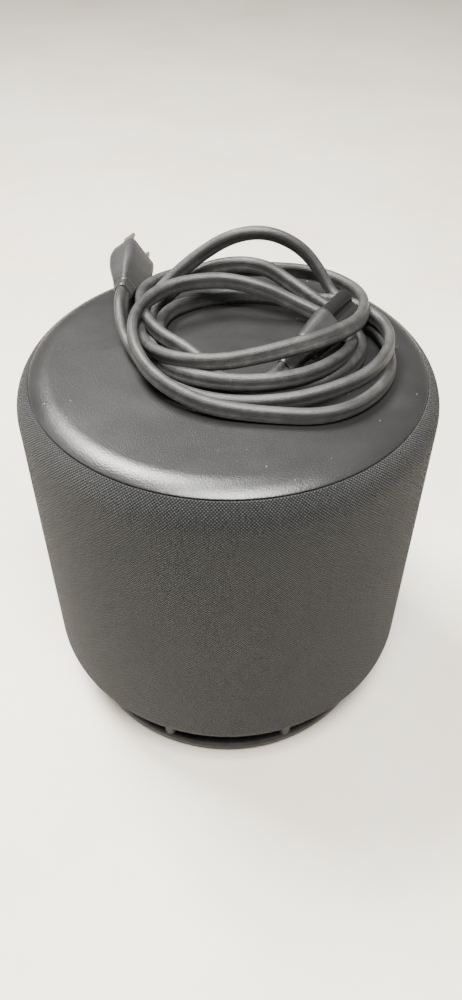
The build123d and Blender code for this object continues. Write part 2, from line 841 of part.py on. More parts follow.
socket_bottom = board_bottom - connector_size[2]
lead_pair(
    "speaker_leads",
    [
        ((tag_x, 0, tag_top), (0, 1)),
        ((tag_x, 0, socket_bottom - 34), (0, 1)),
        ((speaker_socket[0], speaker_socket[1], socket_bottom - 16), (0, 1)),
        ((speaker_socket[0], speaker_socket[1], socket_bottom), (0, 1)),
    ],
)
lead_y = magnet_radius + 4.0
pin_back = inlet_back - 4.0
lead_pair(
    "mains_leads",
    [
        ((0, pin_back, inlet_height), (pin_spacing / lead_spacing, 0)),
        ((0, lead_y, inlet_height), (pin_spacing / lead_spacing, 0)),
        ((0, lead_y, inlet_height + 40), (pin_spacing / lead_spacing, 0)),
        ((0, mains_socket[1], socket_bottom - 24), (1, 0)),
        ((0, mains_socket[1], socket_bottom), (1, 0)),
    ],
)

# ---------------------------------------------------------------- rear panel and its controls
with BuildPart() as rear_panel:
    with BuildSketch(facing_back(panel_back, panel_centre_height)):
        RectangleRounded(*flange_size, panel_corner)
    extrude(amount=panel_plate)
    with BuildSketch(facing_back(panel_face, panel_centre_height)):
        RectangleRounded(panel_width, panel_height, panel_corner)
        RectangleRounded(
            panel_width - 2 * panel_wall,
            panel_height - 2 * panel_wall,
            panel_corner - panel_wall,
            mode=Mode.SUBTRACT,
        )
    extrude(amount=body_radius - panel_face)
    with BuildSketch(facing_back(panel_back, switch_board_height)):
        with GridLocations(switch_post_spacing, 0, 2, 1):
            Circle(switch_post_radius)
    extrude(amount=switch_board_front - panel_back)
    with BuildSketch(Plane.XY):
        Circle(body_radius)
    extrude(amount=body_height, mode=Mode.INTERSECT)
    with BuildSketch(facing_back(panel_back, inlet_height)):
        Rectangle(inlet_size[0] + 2 * panel_fit, inlet_size[1] + 2 * panel_fit)
    extrude(amount=panel_plate, mode=Mode.SUBTRACT)
    with BuildSketch(facing_back(panel_back, button_height)):
        Circle(button_radius + button_fit)
    extrude(amount=panel_plate, mode=Mode.SUBTRACT)
    with BuildSketch(facing_back(panel_back, lens_height)):
        Circle(lens_radius + panel_fit / 2)
    extrude(amount=panel_plate, mode=Mode.SUBTRACT)
    with BuildSketch(facing_back(panel_back, panel_centre_height)):
        with GridLocations(*panel_screw_grid, 2, 2):
            Circle(board_screw_radius + screw_clearance)
    extrude(amount=panel_plate, mode=Mode.SUBTRACT)
    with BuildSketch(facing_back(switch_board_front, switch_board_height)):
        with GridLocations(switch_post_spacing, 0, 2, 1):
            Circle(board_screw_radius)
    extrude(amount=board_screw_depth, mode=Mode.SUBTRACT)
save(rear_panel, "rear_panel")


with BuildPart() as rear_screws:
    # four hold the panel to the shell, two hold the small board to the panel
    for level, height, spread in (
        (panel_back, panel_centre_height, (*panel_screw_grid, 2, 2)),
        (switch_board_back, switch_board_height, (switch_post_spacing, 0, 2, 1)),
    ):
        with BuildSketch(facing_back(level - board_head_height, height)):
            with GridLocations(*spread):
                Circle(board_head_radius)
        extrude(amount=board_head_height)
        with BuildSketch(facing_back(level, height)):
            with GridLocations(*spread):
                Circle(board_screw_radius)
        extrude(amount=panel_screw_length - 0.5)
        with BuildSketch(facing_back(level - board_head_height, height)):
            with GridLocations(*spread):
                RegularPolygon(board_head_radius / 2, 6)
        extrude(amount=board_head_height / 2, mode=Mode.SUBTRACT)
save(rear_screws, "rear_screws")

with BuildPart() as power_inlet:
    with BuildSketch(facing_back(inlet_back, inlet_height)):
        Rectangle(*inlet_size)
    extrude(amount=inlet_depth)
    with BuildSketch(facing_back(panel_back - inlet_lip, inlet_height)):
        Rectangle(inlet_size[0] + 2 * inlet_lip, inlet_size[1] + 2 * inlet_lip)
    extrude(amount=inlet_lip)
    with BuildSketch(facing_back(panel_face - socket_depth, inlet_height)):
        with GridLocations(pin_spacing, 0, 2, 1):
            Circle(socket_lobe_radius)
        Rectangle(pin_spacing, socket_waist)
    extrude(amount=socket_depth, mode=Mode.SUBTRACT)
    with BuildSketch(facing_back(inlet_back, inlet_height)):
        with GridLocations(pin_spacing, 0, 2, 1):
            Circle(pin_radius)
    extrude(amount=inlet_depth, mode=Mode.SUBTRACT)
save(power_inlet, "power_inlet")

with BuildPart() as inlet_pins:
    with BuildSketch(facing_back(pin_back, inlet_height)):
        with GridLocations(pin_spacing, 0, 2, 1):
            Circle(pin_radius)
    extrude(amount=panel_face - socket_depth + pin_reach - pin_back)
    fillet(inlet_pins.edges().group_by(Axis.Y)[-1], radius=0.8)
save(inlet_pins, "inlet_pins")

with BuildPart() as action_button:
    with BuildSketch(facing_back(button_back, button_height)):
        Circle(button_radius - 1.5)
    extrude(amount=button_stem)
    with BuildSketch(facing_back(button_back + button_stem, button_height)):
        Circle(button_radius + 1.5)
    extrude(amount=button_flange)
    with BuildSketch(facing_back(button_back + button_stem + button_flange, button_height)):
        Circle(button_radius)
    extrude(amount=button_rest_gap + panel_plate + button_proud)
    fillet(action_button.edges().group_by(Axis.Y)[-1], radius=0.7)
save(action_button, "action_button")

with BuildPart() as switch_plunger:
    with BuildSketch(facing_back(switch_front - plunger_in, button_height)):
        Circle(plunger_radius)
    extrude(amount=plunger_in + plunger_out)
save(switch_plunger, "switch_plunger")

with BuildPart() as button_switch:
    with BuildSketch(facing_back(switch_board_front, button_height)):
        Rectangle(switch_size, switch_size)
    extrude(amount=switch_depth)
    with BuildSketch(facing_back(switch_front, button_height)):
        Circle(plunger_radius + plunger_fit)
    extrude(amount=-(plunger_in + button_travel + button_rest_gap), mode=Mode.SUBTRACT)
save(button_switch, "button_switch")

with BuildPart() as switch_board:
    with BuildSketch(facing_back(switch_board_back, switch_board_height)):
        Rectangle(*switch_board_size)
        with GridLocations(switch_post_spacing, 0, 2, 1):
            Circle(board_screw_radius + screw_clearance, mode=Mode.SUBTRACT)
    extrude(amount=board_thickness)
save(switch_board, "switch_board")

with BuildPart() as status_lamp:
    with BuildSketch(facing_back(switch_board_front, lens_height)):
        Rectangle(3.2, 3.2)
    extrude(amount=lamp_depth)
save(status_lamp, "status_lamp")

with BuildPart() as status_lens:
    with BuildSketch(facing_back(switch_board_front + lamp_depth, lens_height)):
        Circle(lens_radius)
    extrude(amount=panel_face + lens_proud - switch_board_front - lamp_depth)
save(status_lens, "status_lens")

with BuildPart() as switch_cable:
    # flat ribbon from the back of the small board up to the edge of the power board
    ribbon_x = 11.0
    strip = ribbon_thickness
    with BuildSketch(Plane.YZ.offset(ribbon_x)):
        with BuildLine():
            back = switch_board_back
            top = switch_board_height + switch_board_size[1] / 2
            Polyline(
                (back, top - 8),
                (back, top + 8),
                (switch_socket[1] + strip / 2, top + 24),
                (switch_socket[1] + strip / 2, board_bottom),
                (switch_socket[1] - strip / 2, board_bottom),
                (switch_socket[1] - strip / 2, top + 24),
                (back - strip, top + 8),
                (back - strip, top - 8),
                close=True,
            )
        make_face()
    extrude(amount=8.0)
save(switch_cable, "switch_cable")

# ---------------------------------------------------------------- damping wadding
with BuildPart() as damping_wadding:
    wadding_outer = shell_inner_radius - 0.4
    wadding_level = baffle_top + boss_height + 1.0
    with BuildSketch(Plane.XY.offset(wadding_level)):
        Circle(wadding_outer)
        Circle(wadding_outer - wadding_thickness, mode=Mode.SUBTRACT)
        with Locations((0, body_radius * 0.8)):
            Rectangle(body_diameter, body_diameter, mode=Mode.SUBTRACT)
    extrude(amount=wadding_height)
save(damping_wadding, "damping_wadding")


# ---------------------------------------------------------------- mains cord set on the top
def along(start, end, roll):
    """Plane at one end of a moulding, its Z along the moulding, and the moulding's length."""
    axis = Vector(*end) - Vector(*start)
    side = Vector(0, 0, 1).cross(axis).normalized()
    upward = axis.normalized().cross(side)
    x_dir = side * cos(radians(roll)) + upward * sin(radians(roll))
    return Plane(origin=start, x_dir=x_dir, z_dir=axis), axis.length


def at_depth(plane, depth):
    """The point on a moulding's axis a distance from its plane."""
    return tuple(plane.offset(depth).origin)


plug_plane, plug_length = along(plug_neck, plug_face, plug_roll)
with BuildPart() as plug_body:
    for share, scale in ((0.0, 0.5), (0.45, 0.85), (0.75, 1.0), (1.0, 0.94)):
        with BuildSketch(plug_plane.offset(share * plug_length)):
            RectangleRounded(plug_size[0] * scale, plug_size[1] * scale, plug_round * scale)
    loft(ruled=True)
    with BuildSketch(plug_plane.offset(plug_length)):
        with GridLocations(blade_spacing, 0, 2, 1):
            Rectangle(*blade_size)
    extrude(amount=-blade_seat, mode=Mode.SUBTRACT)
save(plug_body, "plug_body")

with BuildPart() as plug_blades:
    with BuildSketch(plug_plane.offset(plug_length - blade_seat)):
        with GridLocations(blade_spacing, 0, 2, 1):
            Rectangle(*blade_size)
    extrude(amount=blade_seat + blade_length)
save(plug_blades, "plug_blades")

with BuildPart() as plug_strain_relief:
    for depth, scale in ((0.0, 0.46), (-plug_relief_length, 0.4)):
        with BuildSketch(plug_plane.offset(depth)):
            RectangleRounded(plug_size[0] * scale, plug_size[1] * scale * 1.15, plug_round * scale)
    loft(ruled=True)
save(plug_strain_relief, "plug_strain_relief")

connector_plane, connector_length = along(connector_tail, connector_tip, connector_roll)
grip_end = connector_length - connector_nose_length
grip_tail_size = (connector_grip_size[0] * 0.76, connector_grip_size[1] * 0.84)
with BuildPart() as connector_grip:
    relief_tip = (cord_width + 1.0, cord_width * 0.75)
    relief_root = (cord_width + 3.0, cord_width * 0.9)
    for ends in (
        ((0.0, relief_tip), (connector_relief_length, relief_root)),
        ((connector_relief_length, grip_tail_size), (grip_end, connector_grip_size)),
    ):
        for depth, size in ends:
            with BuildSketch(connector_plane.offset(depth)):
                SlotOverall(*size)
        loft(ruled=True)
save(connector_grip, "connector_grip")

with BuildPart() as connector_nose:
    with BuildSketch(connector_plane.offset(grip_end)):
        with GridLocations(pin_spacing, 0, 2, 1):
            Circle(socket_lobe_radius - connector_nose_fit)
        Rectangle(pin_spacing, socket_waist - 2 * connector_nose_fit)
    extrude(amount=connector_nose_length)
    with BuildSketch(connector_plane.offset(connector_length)):
        with GridLocations(pin_spacing, 0, 2, 1):
            Circle(pin_radius + screw_clearance)
    extrude(amount=-socket_depth, mode=Mode.SUBTRACT)
save(connector_nose, "connector_nose")

plug_tail = tube(
    "cord_plug_tail",
    (
        at_depth(plug_plane, -plug_relief_length),
        at_depth(plug_plane, -plug_relief_length - tail_run),
        plug_tail_end,
    ),
    cord_tube_radius,
)
save(plug_tail, "cord_plug_tail")
connector_tail_tube = tube(
    "cord_connector_tail",
    (connector_tail, at_depth(connector_plane, -tail_run), connector_tail_end),
    cord_tube_radius,
)
save(connector_tail_tube, "cord_connector_tail")

with BuildPart() as cord_coil:
    with BuildSketch(Plane.XY.offset(coil_bottom)):
        with Locations(coil_centre):
            Circle(coil_outer_radius)
            Circle(coil_inner_radius, mode=Mode.SUBTRACT)
    extrude(amount=coil_height)
    fillet(cord_coil.edges().group_by(Axis.Z)[-1], radius=8.0)
    # turns that stand up at the back
    with BuildSketch(Plane.XZ.offset(arch_depth / 2 - arch_centre[1])):
        with Locations((arch_centre[0], coil_bottom)):
            Ellipse(arch_half_width, arch_height)
            with Locations((0, -arch_height)):
                Rectangle(2 * arch_half_width, 2 * arch_height, mode=Mode.SUBTRACT)
    extrude(amount=-arch_depth)
    # room for the connector, which lies across the turns
    notch_plane, notch_length = along(connector_tail, connector_tip, 0.0)
    with BuildSketch(notch_plane.offset(-1.0)):
        with Locations((0, coil_height / 2 + coil_height / 4)):
            Rectangle(connector_space[0], 2 * connector_space[1] + 1.5 * coil_height)
    extrude(amount=notch_length + 2.0, mode=Mode.SUBTRACT)
    add(plug_tail.part, mode=Mode.SUBTRACT)
    add(connector_tail_tube.part, mode=Mode.SUBTRACT)
save(cord_coil, "cord_coil")
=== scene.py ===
"""Looks of the cloth-covered bass speaker with its mains cord lying on top, in millimetres."""
import bmesh
import bpy
import json
import numpy as np
from mathutils import Matrix


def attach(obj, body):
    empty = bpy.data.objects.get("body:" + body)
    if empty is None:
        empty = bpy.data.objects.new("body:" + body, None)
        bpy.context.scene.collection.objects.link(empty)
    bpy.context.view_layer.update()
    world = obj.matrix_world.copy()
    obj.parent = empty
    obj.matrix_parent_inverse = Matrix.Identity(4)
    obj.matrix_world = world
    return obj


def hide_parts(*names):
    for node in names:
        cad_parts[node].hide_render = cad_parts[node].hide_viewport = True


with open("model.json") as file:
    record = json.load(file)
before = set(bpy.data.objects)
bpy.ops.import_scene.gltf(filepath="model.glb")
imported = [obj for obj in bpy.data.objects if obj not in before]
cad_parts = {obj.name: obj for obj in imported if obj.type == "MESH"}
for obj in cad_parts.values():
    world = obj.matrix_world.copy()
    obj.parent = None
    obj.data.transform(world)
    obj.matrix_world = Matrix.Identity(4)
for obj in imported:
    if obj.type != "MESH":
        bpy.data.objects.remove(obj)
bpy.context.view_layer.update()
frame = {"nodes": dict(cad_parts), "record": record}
MM = 0.001
TAU = 2 * np.pi

# ---------------------------------------------------------------- sizes shared with the CAD, mm
BODY = 101.0            # outside radius
TOP = 210.0
SHOULDER = 18.0         # rounding between top and side
SHOULDER_AT = (BODY - SHOULDER, TOP - SHOULDER)
SEAM = 52.0             # where cap and cloth meet, degrees up the shoulder
SEAM_GAP = 1.6
CLOTH = 1.2
SKIRT = 13.0            # rounding at the cloth's lower edge
SKIRT_AT = (BODY - SKIRT, 43.0)
CAP_WALL = 3.0
WINDOW = (40.4, 56.4, 5.2)
WINDOW_HEIGHT = 80.0
THREADS_ROUND = 424     # lozenges of the weave counted round the sleeve
THREAD = TAU * BODY / THREADS_ROUND
CORD_WIDE, CORD_THIN = 8.0, 4.8
COIL_CENTRE = (15.0, 3.0)
PIN_SPACING = 8.6


# ---------------------------------------------------------------- mesh helpers
def turned_arc(centre, radius, start, stop, count):
    """Points (radius, height) on a circle about a centre: centre + radius (cos a, sin a)."""
    a = np.radians(np.linspace(start, stop, count))
    return np.stack([centre[0] + radius * np.cos(a), centre[1] + radius * np.sin(a)], axis=1)


def arc_point(centre, radius, angle):
    """One point (radius, height) on a circle about a centre, at an angle in degrees."""
    a = np.radians(angle)
    return np.array(centre) + radius * np.array([np.cos(a), np.sin(a)])


def made(name, points, faces, uv=None, crease=40.0):
    """A piece from points in millimetres and quads; uv has one pair for every quad corner."""
    mesh = bpy.data.meshes.new(name)
    mesh.from_pydata((np.asarray(points) * MM).tolist(), [], np.asarray(faces).tolist())
    if uv is not None:
        layer = mesh.uv_layers.new(name="laid_flat")
        layer.uv.foreach_set("vector", np.asarray(uv, np.float32).ravel())
    mesh.validate()
    mesh.shade_smooth()
    mesh.set_sharp_from_angle(angle=np.radians(crease))
    piece = bpy.data.objects.new(name, mesh)
    bpy.context.scene.collection.objects.link(piece)
    return piece


def quads(rows, columns, closed):
    """Corner numbers of a grid's quads; a closed grid's last column meets its first."""
    index = np.arange(rows * columns).reshape(rows, columns)
    if closed:
        index = np.concatenate([index, index[:, :1]], axis=1)
    corners = [index[:-1, :-1], index[:-1, 1:], index[1:, 1:], index[1:, :-1]]
    return np.stack(corners, axis=-1).reshape(-1, 4)


def turned(name, profile, columns=288, crease=40.0):
    """A profile of (radius, height) turned about Z: (r sin t, -r cos t, h), t round the circle."""
    t = np.linspace(0, TAU, columns, endpoint=False)
    r, h = np.asarray(profile, float).T
    ring = np.stack([np.outer(r, np.sin(t)), -np.outer(r, np.cos(t)), np.outer(h, np.ones(columns))], axis=-1)
    piece = made(name, ring.reshape(-1, 3), quads(len(r), columns, True), crease=crease)
    return closed_up(piece)


def closed_up(piece):
    """Doubled points are merged, so poles and joins are whole, and faces turned outwards."""
    work = bmesh.new()
    work.from_mesh(piece.data)
    bmesh.ops.remove_doubles(work, verts=work.verts, dist=1e-6)
    bmesh.ops.recalc_face_normals(work, faces=work.faces)
    work.to_mesh(piece.data)
    work.free()
    return piece


def capped_loft(name, rings, crease=40.0):
    """Closed rings of equal count joined in order, with a fan over the first and the last."""
    rings = np.asarray(rings, float)
    rows, columns = rings.shape[:2]
    ends = np.repeat(rings[[0, -1]].mean(axis=1, keepdims=True), columns, axis=1)
    whole = np.concatenate([ends[:1], rings, ends[1:]])
    piece = made(name, whole.reshape(-1, 3), quads(rows + 2, columns, True), crease=crease)
    return closed_up(piece)


def moulding_axes(start, end, roll):
    """Origin, wide, thin and long directions of a moulding lying from start to end."""
    start, end = np.array(start, float), np.array(end, float)
    axis = (end - start) / np.linalg.norm(end - start)
    side = np.cross((0, 0, 1), axis)
    side /= np.linalg.norm(side)
    upward = np.cross(axis, side)
    wide = side * np.cos(np.radians(roll)) + upward * np.sin(np.radians(roll))
    return start, wide, np.cross(axis, wide), axis


def on_axis(start, end, depth):
    """The point on a moulding's axis at a depth from its start; a negative depth lies behind it."""
    start, axis = np.array(start, float), np.subtract(end, start)
    return tuple((start + depth * axis / np.linalg.norm(axis)).tolist())


def rounded_box_ring(half_wide, half_thin, corner, count=12):
    """Outline of a rounded rectangle, a quarter circle at each corner, as (wide, thin) pairs."""
    corner = min(corner, half_wide - 0.01, half_thin - 0.01)
    out = []
    for i, (sx, sy) in enumerate(((1, 1), (-1, 1), (-1, -1), (1, -1))):
        centre = (sx * (half_wide - corner), sy * (half_thin - corner))
        out.append(turned_arc(centre, corner, 90 * i, 90 * i + 90, count))
    return np.concatenate(out)


def lofted(name, axes, stations, crease=40.0):
    """Rounded-rectangle rings set along a moulding; a station is (depth, half wide, half thin, corner)."""
    start, wide, thin, axis = axes
    rings = []
    for depth, half_wide, half_thin, corner in stations:
        ring = rounded_box_ring(half_wide, half_thin, corner)
        rings.append(start + axis * depth + ring[:, :1] * wide + ring[:, 1:] * thin)
    return capped_loft(name, rings, crease=crease)


# ---------------------------------------------------------------- shader helpers
class Nodes:
    """Short words for adding and joining shader nodes in one tree."""

    def __init__(self, tree):
        self.tree = tree

    def add(self, kind, **values):
        node = self.tree.nodes.new(kind)
        for key, value in values.items():
            if key.startswith("in_"):
                node.inputs[key[3:].replace("_", " ")].default_value = value
            else:
                setattr(node, key, value)
        return node

    def join(self, out, into):
        self.tree.links.new(out, into)

    def math(self, operation, a, b=None, clamp=False):
        node = self.tree.nodes.new("ShaderNodeMath")
        node.operation, node.use_clamp = operation, clamp
        for socket, value in zip(node.inputs, (a, b)):
            if value is None:
                continue
            if isinstance(value, (int, float)):
                socket.default_value = value
            else:
                self.join(value, socket)
        return node.outputs[0]

    def spread(self, value, low, high, to_low=0.0, to_high=1.0):
        node = self.tree.nodes.new("ShaderNodeMapRange")
        for name, number in zip(("From Min", "From Max", "To Min", "To Max"), (low, high, to_low, to_high)):
            node.inputs[name].default_value = number
        self.join(value, node.inputs["Value"])
        return node.outputs["Result"]

    def noise(self, place, scale, detail=3.0, rough=0.55):
        node = self.add("ShaderNodeTexNoise", in_Scale=scale, in_Detail=detail, in_Roughness=rough)
        self.join(place, node.inputs["Vector"])
        return node.outputs["Fac"]

    def stretched(self, place, factors):
        node = self.add("ShaderNodeMapping", in_Scale=factors)
        self.join(place, node.inputs["Vector"])
        return node.outputs["Vector"]

    def mixed(self, share, first, second):
        node = self.tree.nodes.new("ShaderNodeMix")
        node.data_type = "RGBA"
        for socket, value in zip((node.inputs[0], node.inputs[6], node.inputs[7]), (share, first, second)):
            if isinstance(value, (int, float, tuple)):
                socket.default_value = value
            else:
                self.join(value, socket)
        return node.outputs[2]


def effect(name, inputs, outputs):
    """An empty node group with named vector, number or colour sockets."""
    group = bpy.data.node_groups.new(name, "ShaderNodeTree")
    for label, kind, start in inputs:
        socket = group.interface.new_socket(label, in_out="INPUT", socket_type=f"NodeSocket{kind}")
        if start is not None:
            socket.default_value = start
    for label, kind in outputs:
        group.interface.new_socket(label, in_out="OUTPUT", socket_type=f"NodeSocket{kind}")
    return group, Nodes(group), group.nodes.new("NodeGroupInput"), group.nodes.new("NodeGroupOutput")


def moulded_grain_effect():
    """Spark-eroded mould texture: fine even pits, and slow patches where the finish varies."""
    group, n, into, out = effect(
        "moulded_grain",
        [("Place", "Vector", None), ("Pit Size", "Float", 0.0005)],
        [("Pits", "Float"), ("Patches", "Float")],
    )
    per_metre = n.math("DIVIDE", 1.0, into.outputs["Pit Size"])
    fine = n.add("ShaderNodeTexNoise", in_Detail=2.0, in_Roughness=0.5)
    n.join(into.outputs["Place"], fine.inputs["Vector"])
    n.join(per_metre, fine.inputs["Scale"])
    n.join(n.spread(fine.outputs["Fac"], 0.35, 0.65), out.inputs["Pits"])
    n.join(n.spread(n.noise(into.outputs["Place"], 22.0, 4.0), 0.3, 0.7), out.inputs["Patches"])
    return group


def dust_effect():
    """Sparse pale specks and a faint bloom that lie on what faces up."""
    group, n, into, out = effect(
        "settled_dust",
        [("Place", "Vector", None), ("Facing", "Vector", None), ("Specks", "Float", 0.5)],
        [("Speck", "Float"), ("Bloom", "Float")],
    )
    parts = n.add("ShaderNodeSeparateXYZ")
    n.join(into.outputs["Facing"], parts.inputs[0])
    up = n.spread(parts.outputs["Z"], 0.15, 0.85)
    cells = n.add("ShaderNodeTexVoronoi", in_Scale=260.0, in_Randomness=1.0)
    n.join(into.outputs["Place"], cells.inputs["Vector"])
    pick = n.add("ShaderNodeSeparateXYZ")
    n.join(cells.outputs["Color"], pick.inputs[0])
    size = n.spread(pick.outputs["X"], 0.72, 1.0, 0.0, 0.16)
    dot = n.math("LESS_THAN", cells.outputs["Distance"], n.math("MULTIPLY", size, into.outputs["Specks"]))
    n.join(n.math("MULTIPLY", dot, up), out.inputs["Speck"])
    cloud = n.spread(n.noise(into.outputs["Place"], 35.0, 6.0, 0.65), 0.42, 0.75)
    n.join(n.math("MULTIPLY", cloud, up), out.inputs["Bloom"])
    return group


def lozenge_weave_effect():
    """Cloth of small raised lozenges in offset rows: |sin| of the two diagonals, with marled threads."""
    group, n, into, out = effect(
        "lozenge_weave",
        [("Laid Flat", "Vector", None)],
        [("Height", "Float"), ("Gap Shade", "Float"), ("Marl", "Float")],
    )
    parts = n.add("ShaderNodeSeparateXYZ")
    n.join(into.outputs["Laid Flat"], parts.inputs[0])
    u, v = parts.outputs["X"], parts.outputs["Y"]
    wobble = n.math("MULTIPLY", n.math("SUBTRACT", n.noise(into.outputs["Laid Flat"], 0.35, 2.0), 0.5), 0.25)
    leaning = n.math("ADD", n.math("ADD", u, v), wobble)
    first = n.math("ABSOLUTE", n.math("SINE", n.math("MULTIPLY", leaning, np.pi)))
    second = n.math("ABSOLUTE", n.math("SINE", n.math("MULTIPLY", n.math("SUBTRACT", u, v), np.pi)))
    bump = n.math("MULTIPLY", first, second)
    n.join(bump, out.inputs["Height"])
    # Gap Shade: painted shade on the low ground between lozenges, read from the bump's height
    n.join(n.spread(bump, 0.62, 0.18), out.inputs["Gap Shade"])
    fibre = n.noise(n.stretched(into.outputs["Laid Flat"], (1.0, 2.6, 1.0)), 1.3, 5.0, 0.75)
    n.join(n.spread(fibre, 0.36, 0.66), out.inputs["Marl"])
    return group


def drawn_streaks_effect():
    """Fine streaks along the second axis of a flat layout, as extruding or turning leaves them."""
    group, n, into, out = effect(
        "drawn_streaks",
        [("Laid Flat", "Vector", None), ("Stretch", "Vector", (1.0, 0.05, 1.0))],
        [("Streak", "Float")],
    )
    place = n.add("ShaderNodeMapping")
    n.join(into.outputs["Laid Flat"], place.inputs["Vector"])
    n.join(into.outputs["Stretch"], place.inputs["Scale"])
    n.join(n.spread(n.noise(place.outputs["Vector"], 1.0, 5.0, 0.7), 0.35, 0.65), out.inputs["Streak"])
    return group


GRAIN = moulded_grain_effect()
DUST = dust_effect()
WEAVE = lozenge_weave_effect()
STREAKS = drawn_streaks_effect()


def tint(value, warmth=0.0):
    """A nearly neutral grey, warmed or cooled a little."""
    return (value * (1 + warmth), value, value * (1 - warmth), 1.0)


def started(name, rough, metal=0.0, sheen=0.0, coat=0.0, specular=0.5):
    """A new material, its node words, its shader, and object coordinates."""
    material = bpy.data.materials.new(name)
    material.use_nodes = True
    n = Nodes(material.node_tree)
    shader = material.node_tree.nodes["Principled BSDF"]
    shader.inputs["Roughness"].default_value = rough
    shader.inputs["Metallic"].default_value = metal
    shader.inputs["Sheen Weight"].default_value = sheen
    shader.inputs["Coat Weight"].default_value = coat
    shader.inputs["Specular IOR Level"].default_value = specular
    place = n.add("ShaderNodeTexCoord")
    return material, n, shader, place


def use(n, group, **links):
    """Places an effect in a material and joins or sets its inputs."""
    node = n.tree.nodes.new("ShaderNodeGroup")
    node.node_tree = group
    for label, value in links.items():
        socket = node.inputs[label.replace("_", " ")]
        if isinstance(value, (int, float, tuple)):
            socket.default_value = value
        else:
            n.join(value, socket)
    return node.outputs


def raised(n, shader, height, depth, strength=1.0):
    """Joins a height to the shader's normal as a bump of that depth in metres."""
    bump = n.add("ShaderNodeBump", in_Distance=depth, in_Strength=strength)
    n.join(height, bump.inputs["Height"])
    n.join(bump.outputs["Normal"], shader.inputs["Normal"])


def moulded(name, value, rough, pit=0.0005, depth=0.00004, warmth=0.0, dusty=0.0, coat=0.0, contrast=0.16):
    """Moulded plastic or rubber: grained, patchy in gloss, with dust where it faces up."""
    material, n, shader, place = started(name, rough, coat=coat)
    grain = use(n, GRAIN, Place=place.outputs["Object"], Pit_Size=pit)
    dust = use(n, DUST, Place=place.outputs["Object"], Facing=place.outputs["Normal"])
    darker, paler = tint(value * (1 - contrast), warmth), tint(value * (1 + contrast), warmth)
    colour = n.mixed(grain["Patches"], darker, paler)
    veil = n.math("MULTIPLY", dust["Bloom"], dusty)
    colour = n.mixed(veil, colour, tint(0.34, 0.03))
    colour = n.mixed(n.math("MULTIPLY", dust["Speck"], min(1.0, 2.5 * dusty)), colour, tint(0.45, 0.03))
    n.join(colour, shader.inputs["Base Color"])
    n.join(n.spread(grain["Patches"], 0.0, 1.0, rough - 0.05, rough + 0.06), shader.inputs["Roughness"])
    raised(n, shader, grain["Pits"], depth)
    return material


def metal(name, colour, rough, streaks=(1500.0, 1500.0, 60.0)):
    """Plated, turned or rolled metal: fine streaks and slightly uneven brightness."""
    material, n, shader, place = started(name, rough, metal=1.0)
    lines = use(n, STREAKS, Laid_Flat=place.outputs["Object"], Stretch=streaks)
    patches = use(n, GRAIN, Place=place.outputs["Object"], Pit_Size=0.0008)
    dull = tuple(0.72 * c for c in colour) + (1.0,)
    base = n.mixed(n.math("MULTIPLY", lines["Streak"], 0.6), tuple(colour) + (1.0,), dull)
    n.join(n.mixed(n.math("MULTIPLY", patches["Patches"], 0.35), base, dull), shader.inputs["Base Color"])
    n.join(n.spread(patches["Patches"], 0.0, 1.0, rough - 0.05, rough + 0.12), shader.inputs["Roughness"])
    raised(n, shader, lines["Streak"], 0.00001)
    return material


def fibrous(name, value, rough, scale, depth, warmth=0.0, sheen=0.0, coloured=None):
    """Felted or pressed fibres: tangled pale and dark hairs from noise at two sizes."""
    material, n, shader, place = started(name, rough, sheen=sheen)
    drawn_out = n.stretched(place.outputs["Object"], (1.0, 1.0, 3.0))
    hairs = n.spread(n.noise(drawn_out, scale, 8.0, 0.75), 0.35, 0.65)
    clumps = n.noise(place.outputs["Object"], scale / 9, 3.0)
    low, high = (tint(value * 0.6, warmth), tint(value * 1.35, warmth)) if coloured is None else coloured
    share = n.math("MULTIPLY", hairs, n.spread(clumps, 0.2, 0.8, 0.5, 1.0))
    n.join(n.mixed(share, low, high), shader.inputs["Base Color"])
    raised(n, shader, hairs, depth)
    return material


def cloth():
    """The sleeve: charcoal marled threads, painted shade in the low gaps between lozenges, a cool sheen at
    the edges.
    """
    material, n, shader, place = started("charcoal_woven_sleeve", 0.85, sheen=0.08, specular=0.15)
    shader.inputs["Sheen Roughness"].default_value = 0.45
    shader.inputs["Sheen Tint"].default_value = (1.0, 0.97, 0.93, 1.0)
    weave = use(n, WEAVE, Laid_Flat=place.outputs["UV"])
    grain = use(n, GRAIN, Place=place.outputs["Object"], Pit_Size=0.004)
    thread = n.mixed(weave["Marl"], tint(0.004, -0.02), tint(0.088, -0.07))
    thread = n.mixed(n.math("MULTIPLY", grain["Patches"], 0.25), thread, tint(0.016, -0.04))
    # painted shade: the low gaps between lozenges darkened almost to black
    thread = n.mixed(n.math("MULTIPLY", weave["Gap Shade"], 0.96), thread, tint(0.002, 0.0))
    n.join(thread, shader.inputs["Base Color"])
    n.join(n.spread(weave["Marl"], 0.0, 1.0, 0.92, 0.74), shader.inputs["Roughness"])
    raised(n, shader, weave["Height"], 0.0006, 1.0)
    return material


